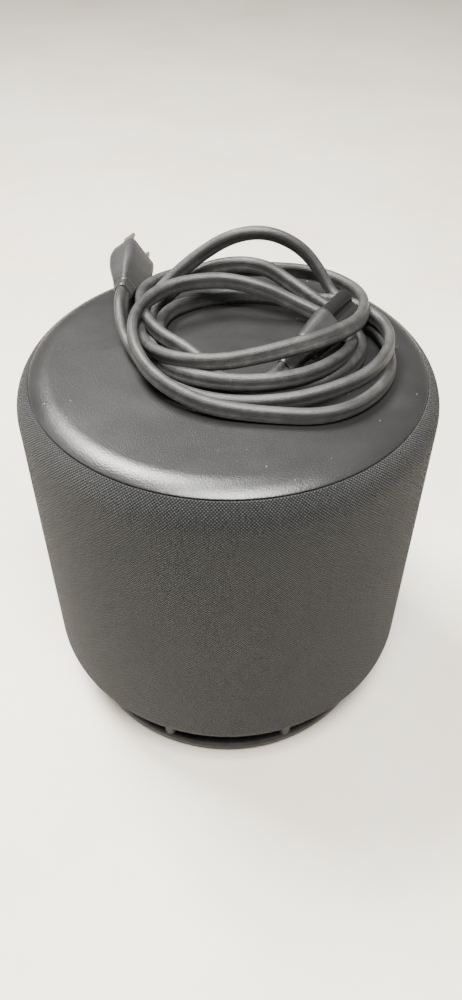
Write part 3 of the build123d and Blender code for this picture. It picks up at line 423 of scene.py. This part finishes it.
def cap_finish():
    """Soft-touch top: even satin charcoal, faint handling marks, specks of dust."""
    material, n, shader, place = started("soft_touch_cap", 0.42, specular=0.75)
    shader.inputs["Sheen Weight"].default_value = 0.01
    grain = use(n, GRAIN, Place=place.outputs["Object"], Pit_Size=0.0006)
    dust = use(n, DUST, Place=place.outputs["Object"], Facing=place.outputs["Normal"], Specks=0.6)
    wiped = n.stretched(place.outputs["Object"], (14.0, 34.0, 10.0))
    smear = n.spread(n.noise(wiped, 1.0, 6.0, 0.6), 0.35, 0.7)
    colour = n.mixed(grain["Patches"], tint(0.013, 0.0), tint(0.018, 0.0))
    colour = n.mixed(n.math("MULTIPLY", dust["Bloom"], 0.10), colour, tint(0.08, 0.02))
    colour = n.mixed(n.math("MULTIPLY", dust["Speck"], 0.6), colour, tint(0.30, 0.02))
    n.join(colour, shader.inputs["Base Color"])
    n.join(n.spread(smear, 0.0, 1.0, 0.28, 0.36), shader.inputs["Roughness"])
    raised(n, shader, grain["Pits"], 0.00005, 0.8)
    return material


def cord_finish():
    """Flat flexible sheath: grey, streaked along its length, paler in cloudy patches where it faces up."""
    material, n, shader, place = started("grey_cord_sheath", 0.5, specular=0.5)
    shader.inputs["Sheen Weight"].default_value = 0.02
    streaks = use(n, STREAKS, Laid_Flat=place.outputs["UV"], Stretch=(60.0, 9.0, 1.0))
    grain = use(n, GRAIN, Place=place.outputs["Object"], Pit_Size=0.0007)
    dust = use(n, DUST, Place=place.outputs["Object"], Facing=place.outputs["Normal"], Specks=0.7)
    colour = n.mixed(streaks["Streak"], tint(0.015, 0.01), tint(0.036, 0.015))
    scuff = n.math("MULTIPLY", n.spread(n.noise(place.outputs["Object"], 160.0, 5.0, 0.7), 0.45, 0.7), 0.55)
    worn = n.math("MULTIPLY", scuff, n.spread(grain["Patches"], 0.0, 1.0, 0.3, 1.0))
    colour = n.mixed(worn, colour, tint(0.085, 0.02))
    # the faces that point up made paler in cloudy patches, from the up-facing bloom weighted 0.55
    colour = n.mixed(n.math("MULTIPLY", dust["Bloom"], 0.55), colour, tint(0.11, 0.02))
    n.join(colour, shader.inputs["Base Color"])
    n.join(n.spread(streaks["Streak"], 0.0, 1.0, 0.34, 0.50), shader.inputs["Roughness"])
    raised(n, shader, n.math("ADD", streaks["Streak"], grain["Pits"]), 0.00005)
    return material


def board_finish():
    """Circuit board: green mask over paler tracks that run square to each other, tinned pads."""
    material, n, shader, place = started("green_solder_mask", 0.38, coat=0.3)
    bricks = n.add("ShaderNodeTexBrick", in_Scale=240.0, in_Mortar_Size=0.03)
    n.join(place.outputs["Object"], bricks.inputs["Vector"])
    cells = n.add("ShaderNodeTexVoronoi", in_Scale=330.0)
    n.join(place.outputs["Object"], cells.inputs["Vector"])
    pads = n.spread(cells.outputs["Distance"], 0.20, 0.16)
    colour = n.mixed(bricks.outputs["Fac"], (0.012, 0.075, 0.03, 1.0), (0.03, 0.16, 0.06, 1.0))
    tinned = n.math("MULTIPLY", pads, 0.8)
    n.join(n.mixed(tinned, colour, (0.62, 0.60, 0.55, 1.0)), shader.inputs["Base Color"])
    raised(n, shader, pads, 0.00003)
    return material


def floor_finish():
    """Pale smooth concrete, barely mottled."""
    material, n, shader, place = started("pale_concrete", 0.75, specular=0.2)
    slow = n.spread(n.noise(place.outputs["Object"], 5.0, 5.0, 0.6), 0.42, 0.75)
    fine = n.spread(n.noise(place.outputs["Object"], 70.0, 6.0, 0.7), 0.3, 0.7)
    colour = n.mixed(slow, (0.97, 0.91, 0.79, 1.0), (0.86, 0.77, 0.63, 1.0))
    flecks = n.math("MULTIPLY", fine, 0.22)
    n.join(n.mixed(flecks, colour, (0.97, 0.93, 0.82, 1.0)), shader.inputs["Base Color"])
    return material


SPIDER_BROWNS = ((0.30, 0.17, 0.06, 1), (0.62, 0.42, 0.20, 1))
finishes = {
    "foot_rubber": moulded("foot_rubber", 0.010, 0.72, pit=0.0009, dusty=0.1),
    "gasket_foam": fibrous("gasket_foam", 0.03, 0.9, 900.0, 0.0002),
    "base_plastic": moulded("base_plastic", 0.006, 0.58, dusty=0.15),
    "shell_plastic": moulded("shell_plastic", 0.030, 0.52, pit=0.0008),
    "fabric": cloth(),
    "cap_plastic": cap_finish(),
    "panel_plastic": moulded("panel_plastic", 0.026, 0.50, pit=0.0006, dusty=0.2),
    "screw_steel": metal("black_zinc_screws", (0.16, 0.16, 0.17), 0.38),
    "basket_paint": moulded("basket_paint", 0.020, 0.34, pit=0.0012, depth=0.00008),
    "magnet_steel": metal("zinc_plated_steel", (0.62, 0.60, 0.54), 0.34),
    "ferrite": moulded("ferrite", 0.045, 0.62, pit=0.0007, depth=0.0001, contrast=0.3),
    "surround_rubber": moulded("surround_rubber", 0.015, 0.44, pit=0.0012, dusty=0.1),
    "cone_paper": fibrous("pressed_cone_paper", 0.035, 0.8, 700.0, 0.00012),
    "former_aluminium": metal("former_aluminium", (0.80, 0.80, 0.80), 0.32),
    "winding_copper": metal("enamelled_winding", (0.74, 0.33, 0.14), 0.30, streaks=(60.0, 60.0, 4500.0)),
    "spider_cloth": fibrous("spider_cloth", 0.2, 0.85, 1500.0, 0.00015, coloured=SPIDER_BROWNS),
    "terminal_block": moulded("terminal_block", 0.025, 0.5),
    "contact_metal": metal("nickel_contacts", (0.72, 0.70, 0.64), 0.24),
    "lead_insulation": moulded("lead_insulation", 0.030, 0.45, pit=0.0003),
    "board": board_finish(),
    "connector_plastic": moulded("cream_connectors", 0.62, 0.45, warmth=0.08, contrast=0.08),
    "transformer_tape": moulded("transformer_tape", 0.42, 0.40, warmth=0.30, contrast=0.12),
    "capacitor_sleeve": moulded("capacitor_sleeve", 0.024, 0.30, contrast=0.25),
    "heat_sink_aluminium": metal("heat_sink_aluminium", (0.74, 0.75, 0.76), 0.42),
    "chip_plastic": moulded("chip_plastic", 0.020, 0.55, pit=0.0003),
    "shield_tin": metal("shield_tin", (0.78, 0.77, 0.74), 0.28),
    "ribbon": moulded("ribbon", 0.50, 0.42, contrast=0.1),
    "inlet_plastic": moulded("inlet_plastic", 0.016, 0.36),
    "button_plastic": moulded("button_plastic", 0.060, 0.40, pit=0.0004),
    "lens": moulded("lens", 0.50, 0.12, pit=0.002, depth=0.00001, contrast=0.06),
    "wadding": fibrous("polyester_wadding", 0.7, 0.95, 350.0, 0.0006, sheen=0.3),
    "cord_sheath": cord_finish(),
    "plug_plastic": moulded("plug_plastic", 0.030, 0.38, pit=0.0007, depth=0.00006, dusty=0.10),
    "blade_metal": metal("nickel_blades", (0.74, 0.73, 0.70), 0.22),
    "grip_plastic": moulded("connector_grip_plastic", 0.018, 0.40, pit=0.0006, dusty=0.10),
    "nose_plastic": moulded("connector_nose_plastic", 0.012, 0.16, pit=0.002, depth=0.00001, coat=0.5),
}

for part in frame["record"]["subparts"]:
    mesh = frame["nodes"][part["node"]].data
    mesh.materials.clear()
    mesh.materials.append(finishes[part["material_slot"]])


def fitted(piece, body, slot, *replaced):
    """Gives a new piece its finish, its body and the CAD nodes that it stands for."""
    piece.data.materials.append(finishes[slot])
    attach(piece, body)
    if replaced:
        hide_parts(*replaced)
    return piece


# ---------------------------------------------------------------- camera, first
def place_camera():
    """Camera in front and above, looking down 43.9 degrees, square to the object's front."""
    data = bpy.data.cameras.new("camera")
    camera = bpy.data.objects.new("camera", data)
    bpy.context.scene.collection.objects.link(camera)
    yaw, pitch, roll = np.radians((0.28, 43.92, 0.30))
    ahead = np.array([np.sin(yaw) * np.cos(pitch), np.cos(yaw) * np.cos(pitch), -np.sin(pitch)])
    right = np.cross(ahead, (0, 0, 1))
    right /= np.linalg.norm(right)
    up = np.cross(right, ahead)
    level = right * np.cos(roll) + up * np.sin(roll)
    above = up * np.cos(roll) - right * np.sin(roll)
    matrix = np.eye(4)
    matrix[:3, :3] = np.stack([level, above, -ahead], axis=1)
    matrix[:3, 3] = np.array((0.0, -319.7, 423.9)) * MM
    camera.matrix_world = Matrix(matrix.tolist())
    data.sensor_width, data.lens, data.clip_start = 36.0, 28.9, 0.01
    bpy.context.scene.camera = camera


place_camera()

# ---------------------------------------------------------------- the cord
# Route from the plug to the connector. A turn is (radius, height over the cap) at every 30 degrees
# from the left side round the front; the spline lies a little inside its points, so radii are let out.
TURN_STEP = 30.0
PLUG_NECK, PLUG_FACE, PLUG_ROLL = (-51.0, 38.0, 225.0), (-50.0, 74.0, 222.0), 55.0
GRIP_TAIL, GRIP_TIP, GRIP_ROLL = (25.2, -20.0, 217.0), (58.5, 22.5, 225.0), 40.0
FROM_PLUG = [on_axis(PLUG_NECK, PLUG_FACE, -7.0), (-51.45, 21.5, 226.3), (-50.6, 12.0, 221.0)]
TURNS = [
    [(61, 6.0), (54, 4.3), (49, 4.5), (46, 5.5), (48.5, 7.5), (57, 10),
     (60.5, 12), (50, 12.5), (44, 5), (46, 4.3), (50, 4.3), (54.5, 4.5)],
    [(45.5, 4.5), (42.5, 4.4), (40.5, 4.3), (39.5, 4.3), (38.5, 4.3), (43.5, 4.3),
     (48.5, 4.4), (45, 4.8), (39, 13.5), (48.5, 21), (60, 15), (59.5, 5)],
    [(50.5, 4.5), (48, 7.5), (44, 11.5), (40.5, 12.5), (39.5, 12.3), (40.5, 11.5),
     (43, 7.5), (39.5, 5), (33, 9.5), (31.5, 16.5), (42, 18.5), (54.5, 18)],
    [(59.5, 17), (59, 11.5), (54.5, 6), (51.5, 4.3), (61, 4.3), (62.5, 4.3), (60, 4.3), (54, 4.5)],
    [(55.5, 8.5), (48.5, 13.5), (38.5, 17.5), (29, 19), (28.5, 20.5), (34.5, 21),
     (45.5, 18), (57.5, 14.5), (61.5, 12.5), (58, 12), (66, 11.5), (68.5, 13.5)],
    [(50, 13), (33.5, 10.5)],
]
ARCH_AFTER_TURN = 3
ARCH = [(52, 41, 219), (44.5, 47, 231), (34, 50, 241.5), (18, 50, 248.5), (1, 50, 246), (-15, 49, 236),
        (-28, 46, 225.5), (-39, 40, 216.5)]
TO_CONNECTOR = [(-8, -25.5, 217), (5, -31, 215.5), on_axis(GRIP_TAIL, GRIP_TIP, -14.0), GRIP_TAIL]
# share of the cord's length and roll of its width in degrees: 90 stands on edge
CORD_ROLL = [
    (0, 125), (0.02, 105), (0.05, 90), (0.62, 90), (0.66, 55), (0.70, 60), (0.735, 90),
    (0.77, 112), (0.80, 75), (0.83, 62), (0.86, 90), (0.96, 85), (0.985, 60), (1, 40),
]


def cord_route():
    """Control points: the plug's tail, turn after turn about the coil's centre, the arch, the other tail."""
    route = list(FROM_PLUG)
    let_out = 1 / np.cos(np.radians(TURN_STEP / 2))
    for number, turn in enumerate(TURNS):
        radius, height = np.array(turn, float).T
        a = np.radians(180 + TURN_STEP * np.arange(len(turn)))
        x = COIL_CENTRE[0] + let_out * radius * np.cos(a)
        y = COIL_CENTRE[1] + let_out * radius * np.sin(a)
        route += np.stack([x, y, TOP + height], axis=1).tolist()
        if number == ARCH_AFTER_TURN:
            route += ARCH
    return np.array(route + TO_CONNECTOR, float)


def spline_line(name, points):
    """The points of a NURBS line through a route, read from a curve with no bevel, in millimetres."""
    curve = bpy.data.curves.new(name, "CURVE")
    curve.dimensions = "3D"
    spline = curve.splines.new("NURBS")
    spline.points.add(len(points) - 1)
    spline.points.foreach_set("co", np.column_stack([points * MM, np.ones(len(points))]).ravel())
    spline.order_u = 3
    spline.use_endpoint_u = True
    spline.resolution_u = 10
    bare = bpy.data.objects.new(name, curve)
    mesh = bpy.data.meshes.new_from_object(bare)
    line = np.empty(len(mesh.vertices) * 3)
    mesh.vertices.foreach_get("co", line)
    bpy.data.meshes.remove(mesh)
    bpy.data.objects.remove(bare)
    bpy.data.curves.remove(curve)
    return line.reshape(-1, 3) / MM


def flat_cord_ring(count=32):
    """Section of a two-core flat cord: a stadium, its flats pinched by a shallow groove, as (wide, thin)."""
    t = np.linspace(0, TAU, count, endpoint=False)
    half, round_end = CORD_WIDE / 2, CORD_THIN / 2
    wide = half * np.sign(np.cos(t)) * np.abs(np.cos(t)) ** 0.9
    past = np.clip(np.abs(wide) - (half - round_end), 0, None)
    thin = np.sign(np.sin(t)) * np.sqrt(np.clip(round_end**2 - past**2, 0, None))
    thin *= 1 - 0.13 * np.exp(-((wide / 0.9) ** 2))
    return np.stack([wide, thin], axis=1)


def cord_tube(name, line):
    """The flat section carried along the line, its width upright and rolled by a listed amount."""
    step = np.linalg.norm(np.diff(line, axis=0), axis=1)
    along = np.concatenate([[0], np.cumsum(step)])
    ahead = np.gradient(line, along, axis=0)
    ahead /= np.linalg.norm(ahead, axis=1, keepdims=True)
    side = np.cross((0, 0, 1), ahead)
    side /= np.linalg.norm(side, axis=1, keepdims=True)
    upward = np.cross(ahead, side)
    whole = along[-1]
    free = np.clip(along / 60, 0, 1) * np.clip((whole - along) / 60, 0, 1)
    roll = np.interp(along / whole, *np.transpose(CORD_ROLL)) + 7 * np.sin(along / 41.0) * free
    roll = np.convolve(np.pad(roll, 6, mode="edge"), np.ones(13) / 13, mode="valid")
    cos, sin = np.cos(np.radians(roll))[:, None], np.sin(np.radians(roll))[:, None]
    wide = side * cos + upward * sin
    thin = np.cross(ahead, wide)
    ring = flat_cord_ring()
    points = line[:, None] + ring[None, :, :1] * wide[:, None] + ring[None, :, 1:] * thin[:, None]
    rows, columns = points.shape[:2]
    faces = quads(rows, columns, True)
    row = faces // columns
    column = faces % columns
    wrapped = np.where((column == 0) & (column.max(axis=1, keepdims=True) == columns - 1), columns, column)
    uv = np.stack([wrapped / columns, along[row] * MM], axis=-1)
    piece = made(name, points.reshape(-1, 3), faces, uv=uv)
    return piece, line * MM, whole * MM


cord_line = spline_line("cord_line", cord_route())
cord, cord_path, cord_length = cord_tube("mains_cord", cord_line)
fitted(cord, "power_cord", "cord_sheath", "cord_coil", "cord_plug_tail", "cord_connector_tail")

# ---------------------------------------------------------------- plug and connector
plug_axes = moulding_axes(PLUG_NECK, PLUG_FACE, PLUG_ROLL)
plug_depth = float(np.linalg.norm(np.subtract(PLUG_FACE, PLUG_NECK)))


def plug_stations():
    """Neck to face: a smooth swelling of the section, then a rounded front edge."""
    share = np.linspace(0, 1, 26)
    scale = np.interp(share, (0, 0.12, 0.45, 0.75, 0.94, 1), (0.50, 0.60, 0.87, 1.0, 0.985, 0.95))
    scale = np.convolve(np.pad(scale, 2, mode="edge"), np.ones(5) / 5, mode="valid")
    front = turned_arc((0, 0), 1.6, 0, 90, 7)
    rows = [(plug_depth * (s * 0.94), 10.5 * k, 7.75 * k, 3.4 * k) for s, k in zip(share, scale)]
    depth, wide, thin, corner = rows[-1]
    rows += [(depth + b, wide - 1.6 + a, thin - 1.6 + a, max(corner - 1.6 + a, 0.4)) for a, b in front[1:]]
    first = rows[0]
    neck = [(0.0, first[1] - 0.8, first[2] - 0.8, first[3] - 0.5)]
    neck += [(0.25, first[1] - 0.2, first[2] - 0.2, first[3] - 0.1)]
    return neck + [(max(r[0], 0.8), *r[1:]) for r in rows]


plug = lofted("plug_moulding", plug_axes, plug_stations(), crease=50)
fitted(plug, "power_cord", "plug_plastic", "plug_body")


def relief_stations():
    """A short collar at the plug's neck, then a taper with two shallow ribs down to the cord."""
    depth = np.linspace(0.4, -7.0, 30)
    share = -depth / 7.0
    wide = 4.95 - 0.75 * share + 0.30 * np.maximum(0, np.sin(share * 3 * np.pi)) ** 2
    thin = 4.15 - 1.15 * share + 0.30 * np.maximum(0, np.sin(share * 3 * np.pi)) ** 2
    rows = list(zip(depth, wide, thin, np.full(len(depth), 2.0)))
    return rows[::-1]


relief = lofted("plug_relief", plug_axes, relief_stations(), crease=60)
fitted(relief, "power_cord", "plug_plastic", "plug_strain_relief")

grip_axes = moulding_axes(GRIP_TAIL, GRIP_TIP, GRIP_ROLL)
grip_length = float(np.linalg.norm(np.subtract(GRIP_TIP, GRIP_TAIL)))
GRIP_END = grip_length - 17.0


def grip_stations():
    """Ribbed relief that grows out of the cord, a rounded step, then the finger grip to the nose."""
    depth = np.concatenate([np.linspace(0, 16, 34), np.linspace(16.3, GRIP_END, 26)])
    on_relief = depth <= 16
    rib = 0.35 * np.maximum(0, np.sin(depth / 16 * 5 * np.pi)) ** 2 * on_relief
    swell = np.clip((depth - 15.2) / 2.4, 0, 1)
    swell = swell * swell * (3 - 2 * swell)
    share = np.clip((depth - 16) / (GRIP_END - 16), 0, 1)
    grown = np.where(on_relief, depth / 16, 1.0)
    wide = (4.4 + 0.8 * grown) * (1 - swell) + (7.03 + 2.22 * share) * swell
    thin = (2.9 + 0.5 * grown) * (1 - swell) + (4.41 + 0.84 * share) * swell
    tuck = np.clip((depth - GRIP_END + 1.0) / 1.0, 0, 1) ** 2 * 0.8
    wide, thin = wide + rib - tuck, thin + rib - tuck
    return list(zip(depth, wide, thin, thin * 0.97))


grip = lofted("connector_handle", grip_axes, grip_stations(), crease=60)
fitted(grip, "power_cord", "grip_plastic", "connector_grip")


def nose_piece():
    """Two lobes joined by a web, with the two pin holes, cut from a flat outline and given its length."""
    curve = bpy.data.curves.new("connector_tip", "CURVE")
    curve.dimensions, curve.fill_mode = "2D", "BOTH"
    lobe, web, reach = 4.0, 2.3, PIN_SPACING / 2
    x = (reach + lobe) * np.cos(np.linspace(0, np.pi, 60))
    rise = np.sqrt(np.clip(lobe**2 - np.clip(np.abs(x) - reach, -lobe, lobe) ** 2, 0, None))
    rise = np.where(np.abs(x) < reach, np.maximum(rise, web), rise)
    outline = np.concatenate([np.stack([x, rise], 1), np.stack([x[::-1], -rise[::-1]], 1)[1:-1]])
    hole = turned_arc((0, 0), 1.35, 0, 345, 24)
    for ring in (outline, hole + (reach, 0), hole - (reach, 0)):
        spline = curve.splines.new("POLY")
        spline.points.add(len(ring) - 1)
        flat = np.column_stack([ring * MM, np.zeros(len(ring)), np.ones(len(ring))])
        spline.points.foreach_set("co", flat.ravel())
        spline.use_cyclic_u = True
    curve.extrude, curve.bevel_depth, curve.offset = 8.25 * MM, 0.25 * MM, -0.25 * MM
    loose = bpy.data.objects.new("connector_tip", curve)
    mesh = bpy.data.meshes.new_from_object(loose)
    co = np.empty(len(mesh.vertices) * 3)
    mesh.vertices.foreach_get("co", co)
    co = co.reshape(-1, 3) / MM
    start, wide, thin, axis = grip_axes
    placed = start + axis * (GRIP_END + 8.5) + co[:, :1] * wide + co[:, 1:2] * thin + co[:, 2:] * axis
    faces = [tuple(p.vertices) for p in mesh.polygons]
    bpy.data.objects.remove(loose)
    bpy.data.curves.remove(curve)
    final = bpy.data.meshes.new("connector_tip")
    final.from_pydata((placed * MM).tolist(), [], faces)
    final.shade_smooth()
    final.set_sharp_from_angle(angle=np.radians(35))
    piece = bpy.data.objects.new("connector_tip", final)
    bpy.context.scene.collection.objects.link(piece)
    return closed_up(piece)


nose = fitted(nose_piece(), "power_cord", "nose_plastic", "connector_nose")

# ---------------------------------------------------------------- cloth sleeve
seam_low = SEAM - SEAM_GAP / 2
seam_high = SEAM + SEAM_GAP / 2
TUCK, TUCK_BACK = 0.6, 2.0      # rounding where the cloth turns in, and where it starts, degrees below
tuck_from = seam_low - TUCK_BACK
tuck_centre = arc_point(SHOULDER_AT, SHOULDER - TUCK, tuck_from)
SKIRT_ROWS = 25
PATCH_LOW, PATCH_HIGH = 46.0, 118.0     # heights that the patch round the rear window spans
PATCH_ROWS, PATCH_COLUMNS = 36, 48
sleeve_profile = np.concatenate([
    turned_arc(SKIRT_AT, SKIRT, -90, 0, SKIRT_ROWS),
    np.array([(BODY, PATCH_LOW)]),
    np.stack([np.full(24, BODY), np.linspace(PATCH_HIGH, SHOULDER_AT[1], 24)], 1),
    turned_arc(SHOULDER_AT, SHOULDER, 0, tuck_from, 22)[1:],
    turned_arc(tuck_centre, TUCK, tuck_from, seam_low + 70, 5)[1:],
])
sleeve_along = np.concatenate([[0], np.cumsum(np.linalg.norm(np.diff(sleeve_profile, axis=0), axis=1))])
WINDOW_ANGLE = 18.0     # the patch round the rear window spans this much each side of the back


def on_sleeve(angle, along):
    """Point at an angle from the back and a length up the profile: (r sin a, r cos a, h)."""
    radius = np.interp(along, sleeve_along, sleeve_profile[:, 0])
    height = np.interp(along, sleeve_along, sleeve_profile[:, 1])
    whole = np.broadcast_arrays(radius * np.sin(angle), radius * np.cos(angle), height)
    return np.stack(whole, axis=-1)


def window_edge(away):
    """Where rays from the window's middle meet its rounded outline; away holds their directions."""
    half_x, half_z, corner = WINDOW[0] / 2, WINDOW[1] / 2, WINDOW[2]
    d = away / np.linalg.norm(away, axis=1, keepdims=True)
    reach = np.min(np.array([half_x, half_z]) / np.maximum(np.abs(d), 1e-9), axis=1)
    hit = d * reach[:, None]
    inner = np.array([half_x - corner, half_z - corner])
    at_corner = (np.abs(hit) > inner - 1e-9).all(axis=1)
    centre = np.sign(d) * inner
    b = (d * centre).sum(1)
    arc_reach = b + np.sqrt(np.clip(b**2 - (centre**2).sum(1) + corner**2, 0, None))
    return d * np.where(at_corner, arc_reach, reach)[:, None]


def sleeve_piece():
    """Grid round the sleeve, with a patch whose rows run from the window's outline to the grid."""
    rear = np.radians(np.linspace(-WINDOW_ANGLE, WINDOW_ANGLE, PATCH_COLUMNS + 1))
    onward = np.radians(np.linspace(WINDOW_ANGLE, 360 - WINDOW_ANGLE, 217))
    around = np.concatenate([rear[:-1], onward[:-1]])
    z_rows = np.linspace(PATCH_LOW, PATCH_HIGH, PATCH_ROWS + 1)
    start_row = sleeve_along[SKIRT_ROWS]
    above = sleeve_along[SKIRT_ROWS + 2:]
    rows = np.concatenate([sleeve_along[:SKIRT_ROWS], start_row + z_rows - PATCH_LOW, above])
    grid = on_sleeve(around[None, :], rows[:, None])
    faces = quads(len(rows), len(around), True)
    row, column = faces[:, 0] // len(around), faces[:, 0] % len(around)
    in_patch = (column < PATCH_COLUMNS) & (row >= SKIRT_ROWS) & (row < SKIRT_ROWS + PATCH_ROWS)
    faces = faces[~in_patch]
    # the patch's outer edge, walked round the grid's opening
    low = np.stack([rear, np.full_like(rear, PATCH_LOW)], 1)
    high = np.stack([rear[::-1], np.full_like(rear, PATCH_HIGH)], 1)
    right = np.stack([np.full_like(z_rows, rear[-1]), z_rows], 1)
    left = np.stack([np.full_like(z_rows, rear[0]), z_rows[::-1]], 1)
    edge = np.concatenate([low[:-1], right[:-1], high[:-1], left[:-1]])
    flat = np.stack([BODY * np.sin(edge[:, 0]), edge[:, 1] - WINDOW_HEIGHT], 1)
    share = np.linspace(0, 1, 9)[:, None, None]
    between = window_edge(flat)[None] * (1 - share) + flat[None] * share
    patch_angle = np.arcsin(between[..., 0] / BODY)
    patch = on_sleeve(patch_angle, start_row + between[..., 1] + WINDOW_HEIGHT - PATCH_LOW)
    points = np.concatenate([grid.reshape(-1, 3), patch.reshape(-1, 3)])
    faces = np.concatenate([faces, quads(9, len(edge), True) + grid.shape[0] * grid.shape[1]])
    piece = closed_up(made("cloth_sleeve", points, faces, crease=60))
    mesh = piece.data
    corners = np.empty(len(mesh.loops), np.int64)
    mesh.loops.foreach_get("vertex_index", corners)
    co = np.empty(len(mesh.vertices) * 3)
    mesh.vertices.foreach_get("co", co)
    co = co.reshape(-1, 3)[corners] / MM
    angle = np.arctan2(co[:, 0], co[:, 1]).reshape(-1, 4)
    angle = np.where(angle.max(1, keepdims=True) - angle > np.pi, angle + TAU, angle)
    radius_at = np.linalg.norm(co[:, :2], axis=1)
    off_height = np.abs(sleeve_profile[None, :, 1] - co[:, 2:3])
    off_radius = np.abs(sleeve_profile[None, :, 0] - radius_at[:, None])
    nearest = np.argmin(off_height + off_radius, axis=1)
    on_side = radius_at > BODY - 0.01
    along = sleeve_along[nearest] + np.where(on_side, co[:, 2] - sleeve_profile[nearest, 1], 0)
    layer = mesh.uv_layers.new(name="laid_flat")
    uv = np.stack([angle.ravel() * BODY / THREAD, along / THREAD], 1)
    layer.uv.foreach_set("vector", uv.astype(np.float32).ravel())
    # outward normals, then the cloth's own thickness behind them
    normals = np.empty(len(mesh.polygons) * 3)
    mesh.polygons.foreach_get("normal", normals)
    centres = np.empty(len(mesh.polygons) * 3)
    mesh.polygons.foreach_get("center", centres)
    if (normals.reshape(-1, 3)[:, :2] * centres.reshape(-1, 3)[:, :2]).sum() < 0:
        mesh.flip_normals()
    thick = piece.modifiers.new("thickness", "SOLIDIFY")
    thick.thickness, thick.offset = CLOTH * MM, -1.0
    return piece


sleeve = fitted(sleeve_piece(), "speaker_body", "fabric", "fabric_sleeve")

# ---------------------------------------------------------------- cap, base and ring
LIP, LIP_BACK = 0.4, 1.3        # rounding of the cap's edge, and where it starts, degrees above the seam
lip_from = seam_high + LIP_BACK
lip = turned_arc(arc_point(SHOULDER_AT, SHOULDER - LIP, lip_from), LIP, lip_from, seam_high - 88, 6)
cap_profile = np.concatenate([
    [(0.0, TOP), (14, TOP), (28, TOP), (42, TOP), (56, TOP), (70, TOP), (79, TOP)],
    turned_arc(SHOULDER_AT, SHOULDER, 90, lip_from, 24),
    lip[1:],
    turned_arc(SHOULDER_AT, SHOULDER - CAP_WALL, seam_high, 90, 10),
    [(62.0, TOP - 3), (62.0, TOP - 5.5), (60.0, TOP - 5.5), (60.0, TOP - 3), (0.0, TOP - 3)],
])
fitted(turned("top_cap_skin", cap_profile, crease=45), "speaker_body", "cap_plastic", "top_cap")

RING_OUT, RING_IN, RING_LOW, RING_HIGH = 88.5, 80.5, 22.0, 30.0
ring_profile = np.concatenate([
    turned_arc((RING_OUT - 0.8, RING_HIGH - 0.2), 0.2, 90, 0, 3),
    turned_arc((RING_OUT - 0.6, RING_LOW + 0.6), 0.6, 0, -90, 6),
    turned_arc((RING_IN + 0.6, RING_LOW + 0.6), 0.6, -90, -180, 6),
    [(RING_IN, RING_HIGH), (RING_OUT - 0.8, RING_HIGH)],
])
fitted(turned("lower_ring_skin", ring_profile, crease=50), "speaker_body", "base_plastic", "lower_ring")
foot_profile = np.concatenate([
    turned_arc((77.0, 1.0), 1.0, 0, -90, 7),
    turned_arc((65.0, 1.0), 1.0, -90, -180, 7),
    [(64.0, 3.5), (78.0, 3.5), (78.0, 1.0)],
])
fitted(turned("foot_ring_skin", foot_profile, crease=50), "speaker_body", "foot_rubber", "foot_ring")


# ---------------------------------------------------------------- floor and light
def lay_floor():
    """A broad flat grid far larger than the view."""
    side = np.linspace(-3000, 3000, 25)
    x, y = np.meshgrid(side, side)
    points = np.stack([x, y, np.zeros_like(x)], axis=-1).reshape(-1, 3)
    floor = made("floor", points, quads(25, 25, False))
    floor.data.materials.append(floor_finish())


def soft_light(name, place, aim, size, power, colour=(1.0, 1.0, 1.0)):
    """A square softbox aimed at a point, places in metres."""
    data = bpy.data.lights.new(name, "AREA")
    data.shape, data.size, data.energy, data.color = "SQUARE", size, power, colour
    lamp = bpy.data.objects.new(name, data)
    bpy.context.scene.collection.objects.link(lamp)
    back = np.array(place, float) - np.array(aim, float)
    back /= np.linalg.norm(back)
    across = np.cross((0.0, 1.0, 0.0) if abs(back[2]) > 0.99 else (0.0, 0.0, 1.0), back)
    across /= np.linalg.norm(across)
    matrix = np.eye(4)
    matrix[:3, :3] = np.stack([across, np.cross(back, across), back], axis=1)
    matrix[:3, 3] = place
    lamp.matrix_world = Matrix(matrix.tolist())


lay_floor()
soft_light("overhead", (-0.50, 0.38, 1.4), (0.0, 0.0, 0.15), 0.5, 60.0, (1.0, 0.975, 0.93))
soft_light("front_above", (0.02, -0.52, 1.35), (0.0, -0.1, 0.2), 0.45, 50.0, (1.0, 0.99, 0.97))
soft_light("left_fill", (-1.6, 0.0, 0.7), (0.0, 0.0, 0.1), 1.2, 5.0)
world = bpy.data.worlds.new("room")
world.use_nodes = True
world.node_tree.nodes["Background"].inputs["Color"].default_value = (1.0, 0.98, 0.96, 1.0)
world.node_tree.nodes["Background"].inputs["Strength"].default_value = 0.2
bpy.context.scene.world = world
